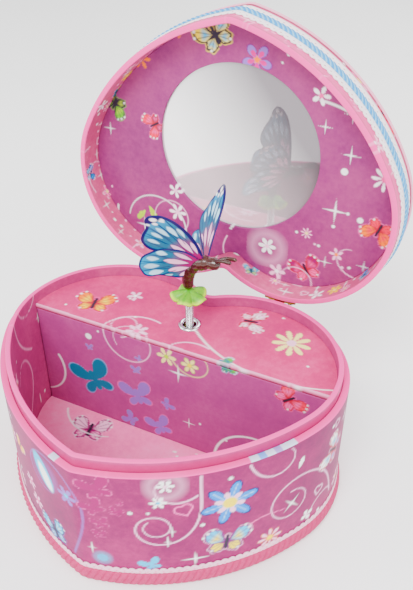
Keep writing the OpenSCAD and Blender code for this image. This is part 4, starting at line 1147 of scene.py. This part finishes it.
# Smooth closed curve through a few spots (Catmull-Rom), many samples of it
def smoothLoop(spots, samples):
    p = np.array(spots, float)
    before, after, second = np.roll(p, 1, 0), np.roll(p, -1, 0), np.roll(p, -2, 0)
    t = np.linspace(0, 1, samples, endpoint=False)[None, :, None]
    p, before, after, second = (q[:, None, :] for q in (p, before, after, second))
    cubic = 3 * (p - after) + second - before
    square = 2 * before - 5 * p + 4 * after - second
    return (p + 0.5 * t * (after - before + t * (square + t * cubic))).reshape(-1, 2)


# Outlines of the wings from their root: distance out along the span, distance up the body
wingShapes = {
    "fore": [(0, 0), (4.5, 6), (10, 11), (16, 15), (23, 18), (29, 18.5), (33.5, 16.5), (34, 13), (31.5, 8.5),
             (31, 3), (29, -1.5), (24, -4), (16, -2.5), (8, -0.5)],
    "hind": [(0, 0), (6, 2.4), (12, 2.6), (18, 0.5), (23, -4), (25.6, -10), (24.5, -15.5), (20.5, -19.6),
             (17, -19.4), (13.5, -16.6), (9, -15.5), (4.5, -12.5), (1, -6)],
}
wingPrint = {  # elongated cells: heading in degrees, start, end and half width in mm, ink
    "fore": [(40, 7, 15, 1.0, "blush"), (27, 8, 19, 1.35, "blush"), (10, 8, 18, 1.3, "blush"),
             (-3, 9, 17, 1.0, "blush"), (36, 18, 25, 1.1, "ice"), (29, 20, 28, 1.2, "ice"),
             (21, 22, 30, 1.2, "ice"), (13, 23, 29, 1.0, "ice"), (4, 22, 28, 1.0, "ice"),
             (30, 30.5, 34.5, 1.3, "white"), (24, 32, 35.2, 1.0, "white")],
    "hind": [(-2, 6, 15, 1.3, "blush"), (-24, 7, 18, 1.6, "blush"), (-46, 7, 17, 1.4, "blush"),
             (-64, 6, 14, 1.0, "blush"), (-10, 17, 22, 1.3, "ice"), (-22, 20, 25.5, 1.5, "ice"),
             (-34, 20, 27, 1.6, "ice"), (-45, 19, 26, 1.5, "ice"), (-56, 16, 21, 1.2, "ice")],
}


wings = {"cup": 0.004, "fall": 0.05, "ripple": 0.22, "foreRim": 1.3, "hindRim": 0.75, "film": 0.45,
         "kept": 0.5}


# One wing: rays from its root to its outline, cupped and rippled, with its cells printed along the rays
def wing(name, side, kind, node):
    lift = math.radians(figure["wingLift"])
    span = unit(math.cos(lift) * side * sideDir + math.sin(lift) * backDir)
    away = np.cross(span, bodyDir)
    outline = smoothLoop(wingShapes[kind], 12)
    share = np.linspace(0, 1, 84)
    flat = outline[:, None, :] * share[None, :, None]
    u, v = flat[..., 0], flat[..., 1]
    r, heading = np.hypot(u, v), np.arctan2(v, u)
    ripple = wings["ripple"] * np.sin(heading * 20) * share[None, :] ** 2
    cup = wings["cup"] * r**2 - wings["fall"] * r + ripple
    drop = 0.6 if kind == "hind" else 0.0
    root = tail + bodyDir * 17.8 + backDir * (2.0 - drop) + side * sideDir * 0.6
    points = root + u[..., None] * span + v[..., None] * bodyDir - cup[..., None] * side * away
    sheet = Sheet(u, v)
    every = np.arange(sheet.x.size)
    spots = np.stack([sheet.x, sheet.y], 1)
    gap = np.min(np.linalg.norm(spots[:, None, :] - outline[None, ::2, :], axis=2), 1)
    far = np.hypot(sheet.x, sheet.y)
    reach = np.max(np.hypot(outline[:, 0], outline[:, 1]))
    sheet.lay(every, np.ones(every.size), "teal")
    sheet.lay(every, far - 0.8 * reach, "sky", soft=10, strength=0.6)
    sheet.lay(every, 0.42 * reach - far, "magenta", soft=6)
    for turn, start, end, half, ink in wingPrint[kind]:
        angle = math.radians(turn)
        along = (sheet.x * math.cos(angle) + sheet.y * math.sin(angle) - start) / (end - start)
        across = np.abs(sheet.y * math.cos(angle) - sheet.x * math.sin(angle))
        inside = (along > 0) & (along < 1)
        swell = np.where(inside, np.sin(math.pi * np.clip(along, 0, 1) ** 1.3) ** 0.7, -3.0)
        depth = half * swell - across
        if ink == "blush":
            sheet.lay(every, depth + 0.4, "navy", soft=0.3)
        sheet.lay(every, depth, ink, soft=0.45, strength=0.95)
        if ink == "ice":
            beside = 0.16 - np.abs(across - half - 0.7)
            sheet.lay(every, np.minimum(beside, (along + 0.5) * 2), "navy", soft=0.4)
    sheet.lay(every, wings[kind + "Rim"] * np.clip(far / 9, 0.2, 1) - gap, "navy", soft=0.4)
    if kind == "fore":
        tip = np.hypot(sheet.x - 34, sheet.y - 16.5)
        sheet.lay(every, np.minimum(5.2 - tip, far - 31), "navy", soft=0.8)
        for x, y, size in ((31.2, 15.2, 1.1), (29.4, 13.0, 0.8), (31.8, 11.0, 0.7)):
            sheet.lay(every, size - np.hypot((sheet.x - x) * 0.7, sheet.y - y), "white", soft=0.4)
    mesh = surface(name, points, True, False, poles=(0,), ink=sheet.ink)
    made = piece(mesh, "figure", wingFilm, [node] if node else [])
    shell = made.modifiers.new("film", "SOLIDIFY")
    shell.thickness, shell.offset = wings["film"] * mm, 0
    spindleY * mm
    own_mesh(made)


figureSpring()
eyelet()
flower()
butterflyBody()
antennae()
for side, label, node in ((1, "left", "left_wings"), (-1, "right", "right_wings")):
    wing(label + "ForeWing", side, "fore", node)
    wing(label + "HindWing", side, "hind", None)
print("figure made")


# Finishes of the frame's own nodes
steel = metal("steel", "8b8f94", "c8ccd0", 0.18, (900.0, 60.0, 60.0))
brass = metal("brass", "a8813c", "e0bc6a", 0.2, (60.0, 900.0, 60.0))
casting = metal("casting", "9a9384", "beb7a6", 0.34, (260.0, 260.0, 260.0), 0.06)
hardboard = fibrous("hardboard", "8a6a4a", "b08c64", (90.0, 90.0, 90.0))
batten = fibrous("batten", "b98d5a", "dcb888")
finishes = {
    "brass": (brass, ["spindle_bush", "hinge_base_leaves", "hinge_lid_leaves", "winding_key", "ratchet_wheel",
                      "spring_barrel", "main_wheel", "music_cylinder", "cylinder_pinion", "cylinder_wheel",
                      "governor_wheel", "spindle_pinion"]),
    "steel": (steel, ["hinge_pins", "hinge_base_screws", "hinge_lid_screws", "movement_screws", "comb",
                      "comb_screws", "click_post", "winding_arbor", "click", "mainspring", "cylinder_arbor",
                      "air_brake", "spindle"]),
    "casting": (casting, ["bedplate", "movement_frame", "comb_base", "governor_bracket"]),
    "hardboard": (hardboard, ["bottom_panel", "movement_board"]),
    "batten": (batten, ["support_battens", "lid_spacer"]),
    "mirror": (mirrorFilm("mirrorFilm"), ["mirror"]),
}
for material, members in finishes.values():
    for name in members:
        nodes[name].data.materials.clear()
        nodes[name].data.materials.append(material)
print("frame parts finished")


# Camera in degrees and mm; each lamp is where it stands (m), how wide it is and its power; all aim at the box
studio = {"azimuth": 25.9, "elevation": 35.38, "distance": 294.94, "lens": 43.28,
          "target": (17.53, 0.0, 99.63), "aim": (0, 0, 0.05), "sky": 1.5}
lamps = {"key": ((0.05, -0.75, 1.0), 0.6, 20), "left": ((-0.9, -0.5, 0.6), 0.7, 7),
         "right": ((0.9, -0.3, 0.6), 0.7, 6), "back": ((0.2, 0.8, 0.9), 0.6, 7)}


def floor():
    material, graph, where = newMaterial("paleFloor")
    cloud = graph.noise(where, 3.0, 2.0)
    colour = cloud.ramp((0.3, tone("fbfbfb")), (0.7, tone("ffffff")))
    finished(material, graph, Base_Color=colour, Roughness=0.6 + cloud * 0.1)
    steps = np.linspace(-2500, 2500, 3)
    points = np.stack(np.meshgrid(steps, steps, [0.0], indexing="ij"), -1)[:, :, 0, :]
    made = bpy.data.objects.new("floor", surface("floor", points))
    bpy.context.scene.collection.objects.link(made)
    made.data.materials.append(material)


def softLight(name, spot, size, power):
    data = bpy.data.lights.new(name, "AREA")
    data.shape, data.size, data.energy = "DISK", size, power
    lamp = bpy.data.objects.new(name, data)
    bpy.context.scene.collection.objects.link(lamp)
    lamp.location = spot
    lamp.rotation_euler = (Vector(studio["aim"]) - Vector(spot)).to_track_quat("-Z", "Y").to_euler()


floor()
for name, (spot, size, power) in lamps.items():
    softLight(name, spot, size, power)
world = bpy.data.worlds.new("studio")
world.use_nodes = True
background = world.node_tree.nodes["Background"].inputs
background["Color"].default_value, background["Strength"].default_value = (1, 1, 1, 1), studio["sky"]
bpy.context.scene.world = world

azimuth, elevation = math.radians(studio["azimuth"]), math.radians(studio["elevation"])
flat = math.cos(elevation)
back = Vector((math.sin(azimuth) * flat, -math.cos(azimuth) * flat, math.sin(elevation)))
camera = bpy.data.objects.new("camera", bpy.data.cameras.new("camera"))
bpy.context.scene.collection.objects.link(camera)
camera.data.lens = studio["lens"]
camera.data.clip_start, camera.data.clip_end = 0.01, 10
camera.location = (Vector(studio["target"]) + back * studio["distance"]) * mm
camera.rotation_mode = "QUATERNION"
camera.rotation_quaternion = (-back).to_track_quat("-Z", "Y")
bpy.context.scene.camera = camera
print("studio set")
